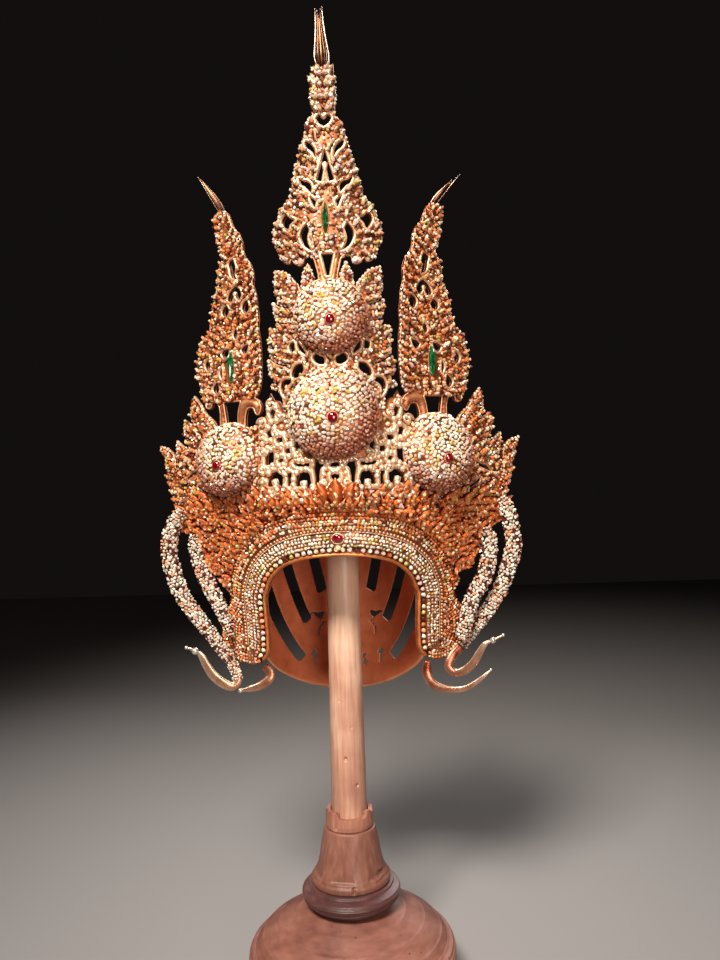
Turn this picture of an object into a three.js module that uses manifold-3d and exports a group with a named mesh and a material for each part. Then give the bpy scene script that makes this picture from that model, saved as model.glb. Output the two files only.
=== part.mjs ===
// Apsara headdress on a wooden display stand. Millimetres, +Z up, the face opening looks towards -Y.
// The origin is the middle of the drum's underside, on the post's axis.

import * as THREE from 'three';
import { mergeVertices } from 'three/addons/utils/BufferGeometryUtils.js';
import { TessellateModifier } from 'three/addons/modifiers/TessellateModifier.js';
import Module from 'manifold-3d';

// ---------------------------------------------------------------- driving dimensions

const GAP = 0.35;                 // clearance kept between neighbouring pieces

const FRONT_Y = -97;              // foremost line of the ornamental front, on the middle plane
const FRONT_SWEEP = 0.8;          // how fast the front falls back towards the sides
const FRONT_BEND = 50;            // half-width of the tight bend in the middle of the front
const LEAN_Z = 478.8;             // below this height the front leans back towards the ears
const LEAN = 0.33;                // mm back for each mm below LEAN_Z
const SHEET = 2.4;                // thickness of the pierced plates
const BAND_SHEET = 3;             // thickness of the brow band
const PANEL_EDGE = 32;            // widest edge left straight when a plate is wrapped round the front
const UPRIGHT_SHARE = 0.2;        // an upright edge stays straight five times as long
const CURVE_STEPS = 2;            // straight pieces in each curved stretch of an outline
const SPLIT_ROUNDS = 20;          // enough halvings for the longest edge of any plate

const CAP = {
  centerZ: 400,                   // height of the cap's widest section
  halfWidth: 87,                  // outer half-width, ear to ear
  frontDepth: 100,
  backDepth: 92,
  centerY: -2,
  topRise: 94,                    // from the widest section up to the crown
  bottomDrop: 175,                // how far below the widest section its curve would close
  squareness: 2.5,                // 2 is an ellipse, more is boxier
  wall: 2,
  edgeGap: 2.4,                   // room between the band and the trimmed edge of the shell
  sides: 24,
  rings: 5,
};

const DRUM_RADIUS = 100;
const DRUM_SHOULDER_Z = 46;
const DRUM_TOP_Z = 90;
const RING_RADIUS = 48.5;
const RING_HEIGHT = 21;
const FOOT_BASE_Z = DRUM_TOP_Z + RING_HEIGHT + 2 * GAP;
const FOOT_TOP_Z = 163;
const COLLAR_TOP_Z = 182;
const POST_RADIUS_BOTTOM = 17.5;
const POST_RADIUS_TOP = 15;
const POST_TOP_Z = CAP.centerZ + CAP.topRise - CAP.wall - 1;
const TURNED_SIDES = 32;          // flats round a turned piece

// Each disc: middle of its back, outer radius, height of the dome, how far the apex is set down, how far its
// face is turned back towards the front, and the radius of its ruby. The two side discs aren't quite alike.
const SIDE_TURN = THREE.MathUtils.degToRad(10);
const DISCS = {
  center: { x: 0, z: 551, radius: 38, rise: 18, drop: 6, turn: 0, ruby: 4.3 },
  upper: { x: 0, z: 634, radius: 31, rise: 15, drop: 7.5, turn: 0, ruby: 4 },
  right: { x: 86.5, z: 519, radius: 34, rise: 19, drop: 7.5, turn: SIDE_TURN, ruby: 4 },
  left: { x: 93, z: 518, radius: 31.5, rise: 19, drop: 7, turn: SIDE_TURN, ruby: 4 },
};
const RUBY_RISE = 3.4;

// ---------------------------------------------------------------- outline tables
// Columns: x, z, and for a curved stretch that arrives at that point, its control point x, z.
// A table with 'half' in its name is the right half of a symmetrical outline, from top to bottom.

const SPIRE_HALF = [
  [0, 844], [5, 843.5], [8.6, 844], [8, 838.5],
  [10.2, 835, 10.8, 838], [9.2, 828, 11, 830.5], [10.6, 823, 11, 826], [10.2, 814.5, 12, 818],
  [9.4, 808], [10, 801.5], [13, 800], [15.6, 791, 15.6, 796], [18.8, 782, 18, 787],
  [21, 774, 21.2, 779], [24, 764, 22.6, 769], [26.8, 754, 26.8, 760], [29.6, 742, 28.8, 748],
  [31.2, 735, 32, 739],
  [38.6, 728.5, 35, 735], [43, 719, 43, 724.5], [46.4, 708, 47.4, 714], [42.8, 693.5, 47.4, 699],
  [35.6, 681, 41.6, 684], [31, 684, 31.4, 679.5], [23.6, 677.5, 28.5, 678], [19.6, 683, 19.2, 679],
  [12.3, 682.5, 16.7, 687], [8.6, 668, 10, 676], [8.2, 650], [0, 650],
];
const SPIRE_MIDDLE_HOLES = [
  // Heart under the neck.
  [[0, 793], [6.6, 800.2, 5.5, 795.5], [0, 800.2, 4.6, 806.4], [-6.6, 800.2, -4.6, 806.4],
   [0, 793, -5.5, 795.5]],
  // Arrow-shaped opening round the inner leaf tip.
  [[0, 774], [7.5, 748, 4, 760], [3.2, 746.5], [0, 763, 1.8, 754], [-3.2, 746.5, -1.8, 754], [-7.5, 748],
    [0, 774, -4, 760]],
  // Opening between the two stems.
  [[-5, 685.5], [5, 685.5], [1.2, 667, 2.5, 675], [-1.2, 667], [-5, 685.5, -2.5, 675]],
];
const SPIRE_SIDE_HOLES = [
  [[15.6, 782], [14.4, 776, 17, 779], [7.2, 766.5, 9.6, 773], [8, 773.5], [11.6, 779.5, 9.4, 777]],
  [[22.4, 751.5], [17.5, 744, 21, 744], [12.4, 737.5, 13, 739], [12.6, 745.5, 10.5, 742],
   [18, 748.5, 15, 748.5]],
  [[34.5, 723.5], [37.8, 715.5, 38.8, 720], [34, 709, 35.5, 711], [31.2, 713.5, 31.5, 710], [26.5, 717],
    [32, 720, 30, 718.5]],
  [[17, 712], [22.4, 702, 22.5, 708], [11.5, 688, 20, 691], [16.4, 699, 16, 693], [14.6, 706.5, 16, 704]],
  [[13.6, 735.4], [7.8, 730], [9.6, 724.6]],
];

// The center spire and the upper leaves aren't quite in the middle.
const CENTER_SPIRE_SHIFT = -1.5;
const UPPER_LEAF_LEAN = { fromZ: 575, toZ: 605, shift: -2.3, narrowing: 0.95 };

// The two side spires aren't quite alike: how far each stands outside its place in the table.
const SPIRE_SHIFT = { right: -2.8, left: 3 };
const SIDE_SPIRE = [
  [89.5, 740], [97, 744, 93, 744], [104, 741, 101, 744],
  [101.6, 726, 104.5, 733], [100.4, 714, 103.5, 718], [96.4, 703, 99.5, 707], [97, 697, 95, 700],
  [101, 688, 100.5, 694], [101.6, 675, 103, 681], [107, 661, 106.5, 669], [109.6, 648, 110, 655],
  [111.6, 636, 112.6, 642], [119.5, 631, 116, 635], [124, 619, 124.5, 627], [127, 602, 128, 611],
  [123, 589, 127, 594], [121.8, 578, 124.5, 583],
  [119.4, 572, 120.6, 575], [114.6, 566.2, 118.8, 566.2], [111.4, 569.6, 110.8, 566.6],
  [108.6, 572, 110.8, 572],
  [103.4, 562, 104.2, 570.4], [103.6, 546], [95.4, 546], [98.6, 570, 97, 558], [82, 569],
  [85, 546, 85.8, 560],
  [77, 546], [75.6, 559, 77.4, 554], [71.5, 562, 74.6, 562.6], [67.6, 557, 68.2, 561.4],
  [64, 554.8, 66.2, 554.2],
  [61, 561.6, 61, 557], [66.8, 570.4, 62, 568.4], [62.4, 578.6, 64, 573],
  [61, 604, 60, 590], [62.6, 632, 60, 618], [63, 650, 61, 641], [66.2, 670, 63, 661],
  [67, 685, 65, 678], [73, 695, 68.5, 692], [75.5, 703, 74, 699], [77.5, 715, 75, 709], [84, 725, 79, 721],
];
const SIDE_SPIRE_HOLES = [
  [[84.5, 697], [89, 693.5, 88.5, 697], [87, 683, 87.5, 688], [81.5, 677.5, 85, 678.5], [82, 688, 84.5, 683]],
  [[83.5, 673], [91, 662, 90, 669], [87.5, 658.5, 90, 659.5], [84, 667.5, 84.5, 662],
   [79.5, 658.5, 82.5, 661],
    [77, 663], [83.5, 673, 78, 670]],
  [[93, 657.5], [97, 651, 97.5, 655.5], [93, 646.5, 96.5, 647.5], [90, 652.5, 90, 649]],
  [[72, 658], [76.5, 651.5, 76.5, 656], [73.5, 645.5, 75.5, 647], [69.5, 651, 69.5, 648]],
  [[83.4, 635], [86, 628, 86.2, 632], [83.5, 624.5, 85.2, 626], [82, 629.5]],
  [[91, 617.5], [99, 615.5, 96, 619], [96, 609.5, 98.5, 612], [92, 612]],
  [[71, 618.5], [78.5, 615, 76.5, 618.5], [75, 609.5, 78, 611.5], [72.5, 613]],
  [[99.2, 602], [101.2, 596.5, 101.4, 600], [99, 590.5, 100.6, 593]],
  [[104, 590], [109, 583.5, 108.4, 588], [105, 578, 108, 580], [102.6, 583.5, 102.8, 580.5]],
  [[113, 612.5], [116.6, 606, 116.6, 610.5], [113, 600.5, 115.5, 602], [111.6, 606.5]],
];

const UPPER_LEAF_HALF = [
  [0, 649], [10, 649], [11, 664, 9, 656], [17, 679, 13, 672], [22.8, 665, 22, 673],
  [23.6, 655], [29, 665, 25, 661], [48, 678, 37, 677], [48.6, 664], [47, 654, 49, 658], [42, 646.5, 47, 648],
  [31.5, 643.6], [31.5, 642], [42, 644.4], [50, 649.5, 46, 646.5], [49.6, 640, 51, 645], [44, 632.5, 49, 634],
  [30.5, 629.5], [30.5, 628], [42, 630.5], [46.5, 631.5], [47.5, 627, 49, 629], [54, 628],
  [55, 609, 56.5, 618], [49, 599, 55, 601], [38.5, 594.8, 44, 596], [39, 593.2], [48, 596.4], [56, 602],
  [56, 592, 57.6, 597], [50.5, 584.5, 56, 586], [51.5, 580.5], [54, 576.5, 57, 580],
  [49.8, 574.6, 50, 573], [45.5, 571.5, 47.5, 576.5], [43, 561, 43, 566], [42.4, 555.8], [0, 555.8],
];
const UPPER_LEAF_HOLES = [
  [[31.5, 613.5], [35.5, 610.5, 35.5, 613.5], [33.5, 604.5, 35.5, 606.5], [30, 608, 30.5, 606]],
  [[27.5, 613], [27, 606.5, 29, 610], [20.5, 601.2, 23.5, 602.5], [22.5, 606.5, 20.5, 604]],
  [[12, 602.4], [5.5, 598.6, 8, 599.6], [5.2, 592.5, 4, 595], [12.4, 594, 9.5, 591.5],
   [14.5, 599.4, 15.5, 597]],
  [[24.5, 594.5], [33, 590, 31, 595.5], [33.5, 583.5, 35, 586.5], [28.5, 583.4, 31, 581.5],
   [23.5, 589, 25.5, 585]],
  [[35.5, 582], [43, 581.4, 40, 583.6], [44, 573, 45.5, 577], [39.8, 566, 43, 569], [40.4, 574.5, 42.5, 571],
    [35.5, 579, 38.5, 577.5]],
];

const LATTICE_HALF = [
  [0, 555.1], [43.6, 555.1], [46, 562.5, 44.4, 559], [52, 566, 48, 566.4], [55.5, 572.5, 53.5, 568.5],
  [56.6, 565.5, 57, 569], [59.6, 554.5, 56.6, 560], [66, 548, 63.5, 552.5], [66, 479], [0, 479],
];
const LATTICE_MIDDLE_HOLES = [
  [[-4.5, 509.5], [4.5, 509.5], [3.6, 505.4], [-3.6, 505.4]],
  [[0, 500], [3.4, 497, 3.4, 500], [0, 493, 2.4, 494.4], [-3.4, 497, -2.4, 494.4], [0, 500, -3.4, 500]],
  [[0, 490.5], [6.8, 483, 2.6, 485.5], [-6.8, 483], [0, 490.5, -2.6, 485.5]],
];
const LATTICE_HOLES = [
  [[14.6, 510.6], [17.6, 508, 17.6, 510.4], [15.8, 489.5, 16.6, 498], [12.6, 489.5], [12.4, 501, 13.8, 496],
    [8.4, 507, 12.6, 506]],
  [[21, 499, 21, 499], [26, 502.6, 22, 502.6], [32.4, 497, 31.6, 502.2], [33.2, 489.6, 34, 493],
    [28.6, 489.6], [26.8, 494.5, 27.4, 492], [24.4, 489.6], [20.6, 489.6], [21, 499, 19.4, 494]],
  [[36.8, 502.4], [40.4, 502.4], [40.8, 490], [37.4, 490]],
  [[44.6, 499], [50.6, 503.6, 45.4, 503.6], [58.2, 495.5, 58, 502.6], [59, 491], [54, 491],
    [52.6, 497, 53.2, 494], [48.8, 491], [44.6, 491], [44.6, 499, 43.4, 495]],
  [[20.4, 510], [34.4, 511.2, 27, 508], [34.4, 508.2], [20.4, 507, 27, 504.6]],
  [[52.5, 521], [58.6, 522], [60.6, 510.4, 61.4, 516], [56.4, 508.4], [52.4, 513.6, 55.4, 511]],
  [[24.6, 534], [29.4, 533, 27.4, 536], [33.8, 520.6, 33.8, 527.6], [30.8, 518.2], [28.4, 524.4, 30, 521.4],
    [24, 529.4, 27, 527]],
  [[36.6, 523], [41.6, 523, 39.2, 524.6], [41.2, 517.8, 42.6, 520], [36.8, 518.6]],
  [[44.6, 515.4], [48, 513.4, 47.6, 515.8], [46.2, 510, 48, 511.2], [43.6, 512]],
  [[44.6, 533.6], [49.6, 531.4, 48.6, 534.4], [47, 527.4, 49.6, 528.6], [44, 529.6]],
  [[53, 540.6], [58.6, 538.4, 56.6, 541.6], [57, 532.2, 59.4, 534.4], [52.2, 534.4]],
  [[51, 558.6], [54.6, 555, 54.4, 558.6], [52, 547.6, 54, 551], [49.6, 552.4, 49.6, 549]],
  [[27.4, 485.6], [33.8, 484.8, 31, 487.2], [34.4, 480.8], [27.2, 480.8]],
  [[9.4, 486], [12.8, 485.2, 11.4, 487], [13.2, 481], [9, 481]],
  [[59.4, 487.6], [63.4, 485.6], [63.2, 481.6], [58.6, 481.8]],
  [[8.4, 522.6], [14, 521.4, 11.4, 523.8], [14.6, 516.8], [8.6, 517.4, 11.4, 515.6]],
];

const SIDE_LEAF_RIGHT = [
  [66.7, 545], [108.4, 545], [113.6, 554.6, 111, 549], [121.6, 562.4, 117.4, 559], [134, 581, 126.4, 572],
  [137.6, 561, 139, 573], [135.6, 552.4],
  [145.4, 559.6, 141, 556.5], [146, 545, 149, 552], [138.6, 531.4, 144.6, 536],
  [146.4, 533.6], [156, 541.4, 152.4, 537.6], [154.6, 524, 157.6, 533], [146.4, 511.4, 153.4, 514.4],
  [158, 514.6], [160.4, 528.6, 157, 522], [176.6, 537.6, 166, 535.6],
  [170.6, 525.6, 175, 530], [168, 512, 171.6, 518], [165.6, 499, 169.6, 505], [161.6, 489, 165.6, 493],
  [160, 479.4], [66.7, 479.4],
];
const SIDE_LEAF_HOLES = [
  [[70, 489], [74.6, 492.4, 70.4, 492.6], [76.4, 485.6, 77.4, 490], [72.6, 483.6, 75.4, 483.4]],
  [[120.6, 489.4], [131.4, 496.6, 127, 491.6], [131.4, 493.4], [121.4, 485.6, 127, 488.4]],
  [[128.6, 512.4], [138.4, 508.6, 133.6, 508.8], [144.6, 502.4], [136.4, 505.4], [128.6, 509.4, 132, 506.4]],
  [[98.4, 485.4], [107.6, 485, 103, 488], [107.6, 482.6], [98.4, 482.8, 103, 485]],
];

const BAND_HALF = [
  [0, 460], [37, 458, 19, 460], [64, 450, 51, 457], [87, 431, 78, 443], [99, 408, 95, 421],
  [104, 386, 102.5, 397], [111.5, 376], [117.6, 362, 117, 370], [115.4, 341, 119.6, 351],
  [100, 325, 111.6, 328],
  [80, 325.6, 89, 322], [70, 338, 71.6, 330], [69.6, 386, 68.4, 362], [66, 399, 69.6, 393],
  [59.6, 411, 64.4, 406], [46.6, 421, 54.4, 417], [26, 427, 37, 425], [0, 429, 13, 429],
];
const DIADEM_HALF = [
  [0, 477.6], [66, 477.6], [110, 477.6], [159.6, 477.6], [157.4, 465, 161, 471], [146, 450.4, 154.4, 456],
  [137.6, 443], [134.6, 432.6, 139, 438], [126, 422.6], [127.6, 415.6, 124.4, 419.4], [118.4, 411.4],
  [110, 409.4],
  [112.4, 402, 108.4, 406], [107.4, 392.6, 111, 396], [109.4, 383.4, 106.6, 388], [105.8, 385.4],
  [104.8, 387.4], [99.8, 408.6, 103.4, 397], [87.8, 431.6, 95.8, 421.6],
  [64.4, 450.8, 78.6, 443.8], [37, 458.8, 51.4, 457.8], [0, 460.8, 19, 460.8],
];
const DIADEM_HOLES = [
  [[121, 447.6], [124.6, 446.6, 123.6, 449.4], [131.4, 435.6, 128.6, 440], [126.6, 437.4]],
  [[52.4, 472.4], [57.6, 473.4, 55.4, 475.2], [60, 468.6], [54.4, 467.6]],
  [[84, 471.6], [90.4, 473, 88, 474.6], [92, 468.4], [85.6, 467.4]],
  [[29.4, 474.4], [33.6, 475, 31.8, 476.6], [35.4, 470.4], [30.6, 470]],
];

// The spires' blade tips: how far each reaches outward and up, and the radius of its bud.
const TIPS = {
  center: { lean: -2, height: 51, radius: 7 },
  right: { lean: 24, height: 26, radius: 4.4 },
  left: { lean: 20, height: 32, radius: 4.4 },
};
// Columns: share of the height, share of the bud's radius.
const CENTER_TIP_RINGS = [[0, 0.6], [0.1, 0.95], [0.2, 1], [0.45, 0.72], [0.7, 0.53], [1, 0.48]];
const SIDE_TIP_RINGS = [[0, 0.7], [0.2, 0.9], [0.45, 0.8], [0.7, 0.5], [1, 0.15]];

const MARQUISE = { center: { x: -2.5, z: 716, halfWidth: 2.9, halfLength: 13 },
  side: { x: 89.5, z: 600.5, halfWidth: 3, halfLength: 14 } };
const EMERALD_RISE = 2.6;

// Hanging straps and curling ends. Columns: x, y, z, half-width, half-thickness.
const TRESSES = {
  tress_outer_right: [
    [153, -15, 478, 6, 4.6], [160, -14, 464, 7, 4.9], [164.5, -12, 442, 7.6, 5], [165, -9, 427, 7.6, 5],
    [158, -4, 402, 7.2, 4.8], [149.7, 0, 382.6, 6.9, 4.6], [138, 2.5, 365, 6.6, 4.5], [125, 4, 347.5, 6, 4.2],
    [114.7, 4, 334.2, 5.2, 3.9],
  ],
  tress_outer_left: [
    [-151, -15, 475, 6, 4.6], [-163, -12, 453, 7.4, 5], [-165.6, -10, 430, 7.7, 5], [-157, -7, 396, 7.5, 5],
    [-142.5, -3, 370.7, 7.2, 4.8], [-127.8, 0, 349.4, 6.4, 4.6], [-116.8, 1, 332.4, 5.6, 4.2],
    [-111, 1.2, 323.5, 4.8, 3.6],
  ],
  tress_inner_right: [
    [138, -16, 450, 5.6, 4.4], [141, -16, 438.7, 6.8, 4.8], [140.8, -15, 424.7, 7.6, 4.8],
    [136, -13.5, 403, 7.6, 4.8],
    [127.7, -12, 388.4, 7.4, 4.6], [121, -11, 374, 7, 4.5], [117.5, -10, 358, 6.4, 4.3],
    [112.3, -9, 343, 5.4, 4],
  ],
  tress_inner_left: [
    [-139, -16, 451, 5.6, 4.4], [-139.5, -14, 442, 6.6, 4.8], [-136.5, -12, 424, 7.2, 4.8],
    [-128.4, -10, 401.5, 7, 4.6], [-119, -9, 380.7, 6.4, 4.4], [-113, -8.5, 364, 5.4, 4],
    [-109.5, -8, 353, 4, 3.2],
  ],
};
const TENDRILS = {
  tendril_upper_right: [
    [113.7, 3.9, 332.8, 4.6, 3.2], [105, 0, 325, 4.6, 2.6], [100.5, -3, 315, 4.4, 2.3],
    [106.5, -4, 308.8, 4, 2.1],
    [116.4, -5, 311.8, 4.2, 2], [124.6, -6, 318.9, 4.2, 1.9], [129.9, -7, 328, 3.6, 1.8],
    [136, -8, 337, 2.6, 1.6],
    [144.5, -8, 340.5, 1.6, 1.2], [154.5, -8, 345.5, 1.2, 1],
  ],
  tendril_upper_left: [
    [-110.4, 1.2, 322.6, 4.6, 3.2], [-106.3, 1, 314, 4.4, 2.8], [-105.4, 0, 306, 4.2, 2.4],
    [-110.5, -1.5, 301.2, 4.2, 2.2], [-119.4, -3, 305, 4.6, 2], [-128.2, -4, 313.1, 4.5, 1.9],
    [-134.5, -5, 323.5, 4, 1.8], [-139, -6, 333, 3.2, 1.6],
    [-145, -7, 338, 2.2, 1.4], [-154, -7, 341.5, 1.2, 1],
  ],
  tendril_lower_right: [
    [79.6, -9, 322, 4, 2.6], [78.8, -10, 310, 4.6, 2.4], [83.9, -12, 300.5, 4.2, 2.2],
    [96.6, -14, 295.5, 3.4, 2],
    [112.6, -16, 296.1, 2.8, 1.7], [124.6, -17, 302, 2.4, 1.5], [133.6, -18, 309, 1.8, 1.2],
    [140, -18, 314.5, 1, 0.9],
  ],
  tendril_lower_left: [
    [-77.5, -8, 321.5, 4, 2.4], [-72.4, -9.5, 315.5, 4.4, 2.4], [-73.1, -11, 309.2, 4.4, 2.3],
    [-81.2, -12, 303.6, 4, 2.1],
    [-91.2, -13, 301.1, 3, 1.8], [-101.5, -14, 299.5, 1.6, 1.1],
  ],
};

// Cap openings seen from the back: each petal slot is a curved strip. Columns: x, z along its middle line.
const PETAL_SLOTS = [
  { half: 5.5, line: [[27, 384], [33, 412], [40, 446]] },
  { half: 5, line: [[43, 353], [58, 388], [67, 440]] },
  { half: 5, line: [[49, 315], [72, 346], [82, 402]] },
];
const NAPE_MOTIFS = [
  [[36.5, 323], [31, 313.5], [35.2, 316.5], [34.6, 306], [36.8, 306], [37.8, 317], [41, 315]],
  [[29, 353], [41, 362], [31, 360], [24, 362], [26, 356]],
  [[17, 316], [15, 312], [17.5, 308], [15.5, 305], [18.5, 302.5], [21, 307], [18, 311], [21, 315]],
  [[24, 351], [29.6, 343], [31, 333], [32.8, 333], [31.8, 344], [25.4, 352.4]],
];
const NAPE_EDGE = { middleZ: 281, sideZ: 341, halfWidth: 74 };

// ---------------------------------------------------------------- materials

const gilt = new THREE.MeshStandardMaterial({ color: 0xd98a3c, roughness: 0.35, metalness: 1 });

function gildedMetal(color = 0xd98a3c) {
  const material = gilt.clone();
  material.color.set(color);
  return material;
}

function rawWood(color) {
  return new THREE.MeshStandardMaterial({ color, roughness: 0.75, metalness: 0 });
}

function gemstone(color) {
  return new THREE.MeshStandardMaterial({ color, roughness: 0.08, metalness: 0 });
}

// ---------------------------------------------------------------- solids and booleans

const wasm = await Module();
wasm.setup();

function solid(geometry) {
  const bare = geometry.clone();
  bare.deleteAttribute('normal');
  bare.deleteAttribute('uv');
  const merged = mergeVertices(bare, 1e-3);
  const vertProperties = new Float32Array(merged.attributes.position.array);
  const triVerts = new Uint32Array(merged.index.array);
  return new wasm.Manifold(new wasm.Mesh({ numProp: 3, vertProperties, triVerts }));
}

function geometryOf(manifold) {
  const mesh = manifold.getMesh();
  const geometry = new THREE.BufferGeometry();
  geometry.setAttribute('position', new THREE.BufferAttribute(mesh.vertProperties, 3));
  geometry.setIndex(new THREE.BufferAttribute(mesh.triVerts, 1));
  return geometry.toNonIndexed();
}

// ---------------------------------------------------------------- outlines

function trace(rows) {
  const path = new THREE.Path().moveTo(rows[0][0], rows[0][1]);
  for (const [x, z, controlX, controlZ] of rows.slice(1)) {
    if (controlX === undefined) path.lineTo(x, z);
    else path.quadraticCurveTo(controlX, controlZ, x, z);
  }
  const points = path.getPoints(CURVE_STEPS);
  if (points[0].distanceTo(points[points.length - 1]) < 1e-6) points.pop();
  return points;
}

function mirrorPoints(points) {
  return points.map((point) => new THREE.Vector2(-point.x, point.y)).reverse();
}

function symmetricalOutline(halfRows) {
  const right = trace(halfRows);
  const left = mirrorPoints(right).filter((point) => Math.abs(point.x) > 1e-6);
  return right.concat(left);
}

function shifted(points, distance) {
  return points.map((point) => new THREE.Vector2(point.x + distance, point.y));
}

function leaned(points) {
  const { fromZ, toZ, shift, narrowing } = UPPER_LEAF_LEAN;
  return points.map(({ x, y }) => {
    const share = THREE.MathUtils.clamp((y - fromZ) / (toZ - fromZ), 0, 1);
    return new THREE.Vector2(x * THREE.MathUtils.lerp(1, narrowing, share) + shift * share, y);
  });
}

function bothSides(holeTables) {
  return holeTables.map(trace).flatMap((points) => [points, mirrorPoints(points)]);
}

function flatPrism(points, fromDepth, toDepth) {
  const shape = new THREE.Shape(points);
  const prism = new THREE.ExtrudeGeometry(shape, { depth: toDepth - fromDepth, bevelEnabled: false });
  return solid(prism.translate(0, 0, fromDepth));
}

// A plate in the plane of x and z, its thickness standing out as a third coordinate.
function flatPlate(outlinePoints, holes, thickness) {
  const overcut = 1;
  let plate = flatPrism(outlinePoints, 0, thickness);
  for (const points of holes) {
    plate = plate.subtract(flatPrism(points, -overcut, thickness + overcut));
  }
  const squashed = geometryOf(plate).scale(1, UPRIGHT_SHARE, 1);
  return new TessellateModifier(PANEL_EDGE, SPLIT_ROUNDS).modify(squashed).scale(1, 1 / UPRIGHT_SHARE, 1);
}

// ---------------------------------------------------------------- the curved front

function frontY(x, z) {
  const bow = FRONT_SWEEP * (Math.hypot(x, FRONT_BEND) - FRONT_BEND);
  return FRONT_Y + bow + Math.max(0, LEAN_Z - z) * LEAN;
}

function frontNormal(x, z) {
  const across = (FRONT_SWEEP * x) / Math.hypot(x, FRONT_BEND);
  const up = z < LEAN_Z ? -LEAN : 0;
  return new THREE.Vector3(across, -1, up).normalize();
}

function onFront(x, z, outward = 0) {
  return frontNormal(x, z).multiplyScalar(outward).add(new THREE.Vector3(x, frontY(x, z), z));
}

// Bends a flat plate round the front. Its face lies 'setBack' behind the front surface.
function wrapOnFront(geometry, thickness, setBack = 0) {
  const position = geometry.attributes.position;
  for (let i = 0; i < position.count; i += 1) {
    const outward = position.getZ(i) - thickness - setBack;
    const place = onFront(position.getX(i), position.getY(i), outward);
    position.setXYZ(i, place.x, place.y, place.z);
  }
  return geometry;
}

function frontPlate(outlinePoints, holes, thickness = SHEET) {
  return wrapOnFront(flatPlate(outlinePoints, holes, thickness), thickness);
}

// Stands a piece made along +Z on the front surface, its own Z axis pointing outward.
function placeOnFront(mesh, x, z, outward) {
  mesh.position.copy(onFront(x, z, outward));
  const normal = frontNormal(x, z);
  const across = new THREE.Vector3(0, 0, 1).cross(normal).normalize();
  const up = normal.clone().cross(across);
  mesh.quaternion.setFromRotationMatrix(new THREE.Matrix4().makeBasis(across, up, normal));
  return mesh;
}

// ---------------------------------------------------------------- tapered straps and blades

const TOWARDS_FRONT = new THREE.Vector3(0, -1, 0);

// Bends a cylinder along a curve, its broad face to the front. Rows end in half-width and half-thickness.
function taperedStrap(rows, sides) {
  const curve = new THREE.CatmullRomCurve3(rows.map(([x, y, z]) => new THREE.Vector3(x, y, z)));
  const last = rows.length - 1;
  const strap = new THREE.CylinderGeometry(1, 1, 1, sides, 2 * last);
  const position = strap.attributes.position;
  for (let i = 0; i < position.count; i += 1) {
    const along = THREE.MathUtils.clamp(position.getY(i) + 0.5, 0, 1);
    const row = Math.min(Math.floor(along * last), last - 1);
    const share = along * last - row;
    const halfWidth = THREE.MathUtils.lerp(rows[row][3], rows[row + 1][3], share);
    const halfThickness = THREE.MathUtils.lerp(rows[row][4], rows[row + 1][4], share);
    const tangent = curve.getTangent(along);
    const face = TOWARDS_FRONT.clone().projectOnPlane(tangent).normalize();
    const across = tangent.clone().cross(face);
    const place = curve.getPoint(along)
      .addScaledVector(across, position.getX(i) * halfWidth)
      .addScaledVector(face, position.getZ(i) * halfThickness);
    position.setXYZ(i, place.x, place.y, place.z);
  }
  return strap;
}

// ---------------------------------------------------------------- pieces

const headdress = new THREE.Group();

function add(name, geometry, material) {
  const mesh = new THREE.Mesh(geometry, material);
  mesh.name = name;
  headdress.add(mesh);
  return mesh;
}

// Geometry is always made for the right side, and the left side's piece is its mirror image.
function addOnSide(side, name, geometry, material) {
  const mesh = add(name, geometry, material);
  if (side === 'left') mesh.scale.x = -1;
  return mesh;
}

function addPair(name, geometry, material) {
  addOnSide('right', `${name}_right`, geometry, material);
  addOnSide('left', `${name}_left`, geometry, material.clone());
}

function turned(profile) {
  const points = profile.map(([radius, z]) => new THREE.Vector2(radius, z));
  return new THREE.LatheGeometry(points, TURNED_SIDES).rotateX(Math.PI / 2);
}

function standDrum() {
  const profile = [
    [0, 0], [DRUM_RADIUS - 3, 0], [DRUM_RADIUS, 3], [DRUM_RADIUS, DRUM_SHOULDER_Z],
    [DRUM_RADIUS - 1.6, DRUM_SHOULDER_Z + 5], [DRUM_RADIUS - 5.5, DRUM_SHOULDER_Z + 8],
    [DRUM_RADIUS - 6.5, DRUM_SHOULDER_Z + 10.5],
    [80, 69], [58, 81], [36, DRUM_TOP_Z], [0, DRUM_TOP_Z],
  ];
  return turned(profile);
}

function standRing() {
  const profile = [[0, DRUM_TOP_Z + GAP]];
  const reach = 12;
  const steps = 5;
  for (let i = 0; i <= steps; i += 1) {
    const angle = -Math.PI / 2 + (Math.PI * i) / steps;
    const z = DRUM_TOP_Z + GAP + (RING_HEIGHT / 2) * (1 + Math.sin(angle));
    profile.push([RING_RADIUS - reach + reach * Math.cos(angle), z]);
  }
  profile.push([0, DRUM_TOP_Z + GAP + RING_HEIGHT]);
  return turned(profile);
}

function standFoot() {
  const profile = [
    [0, FOOT_BASE_Z], [38, FOOT_BASE_Z], [38.6, FOOT_BASE_Z + 5], [35.5, FOOT_BASE_Z + 9],
    [31.5, FOOT_BASE_Z + 18], [28, FOOT_BASE_Z + 36], [25, FOOT_TOP_Z], [0, FOOT_TOP_Z],
  ];
  let foot = solid(turned(profile));
  const flats = 6;
  const flatWidth = 21;
  for (let i = 0; i < flats; i += 1) {
    // A sloping plane cuts each arched flat out of the flare.
    const cutter = new THREE.BoxGeometry(20, flatWidth, 36);
    cutter.rotateY(-0.16);
    cutter.translate(39.6, 0, FOOT_BASE_Z + 27);
    cutter.rotateZ((Math.PI * (2 * i + 0.62)) / flats);
    foot = foot.subtract(solid(cutter));
  }
  return geometryOf(foot);
}

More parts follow.
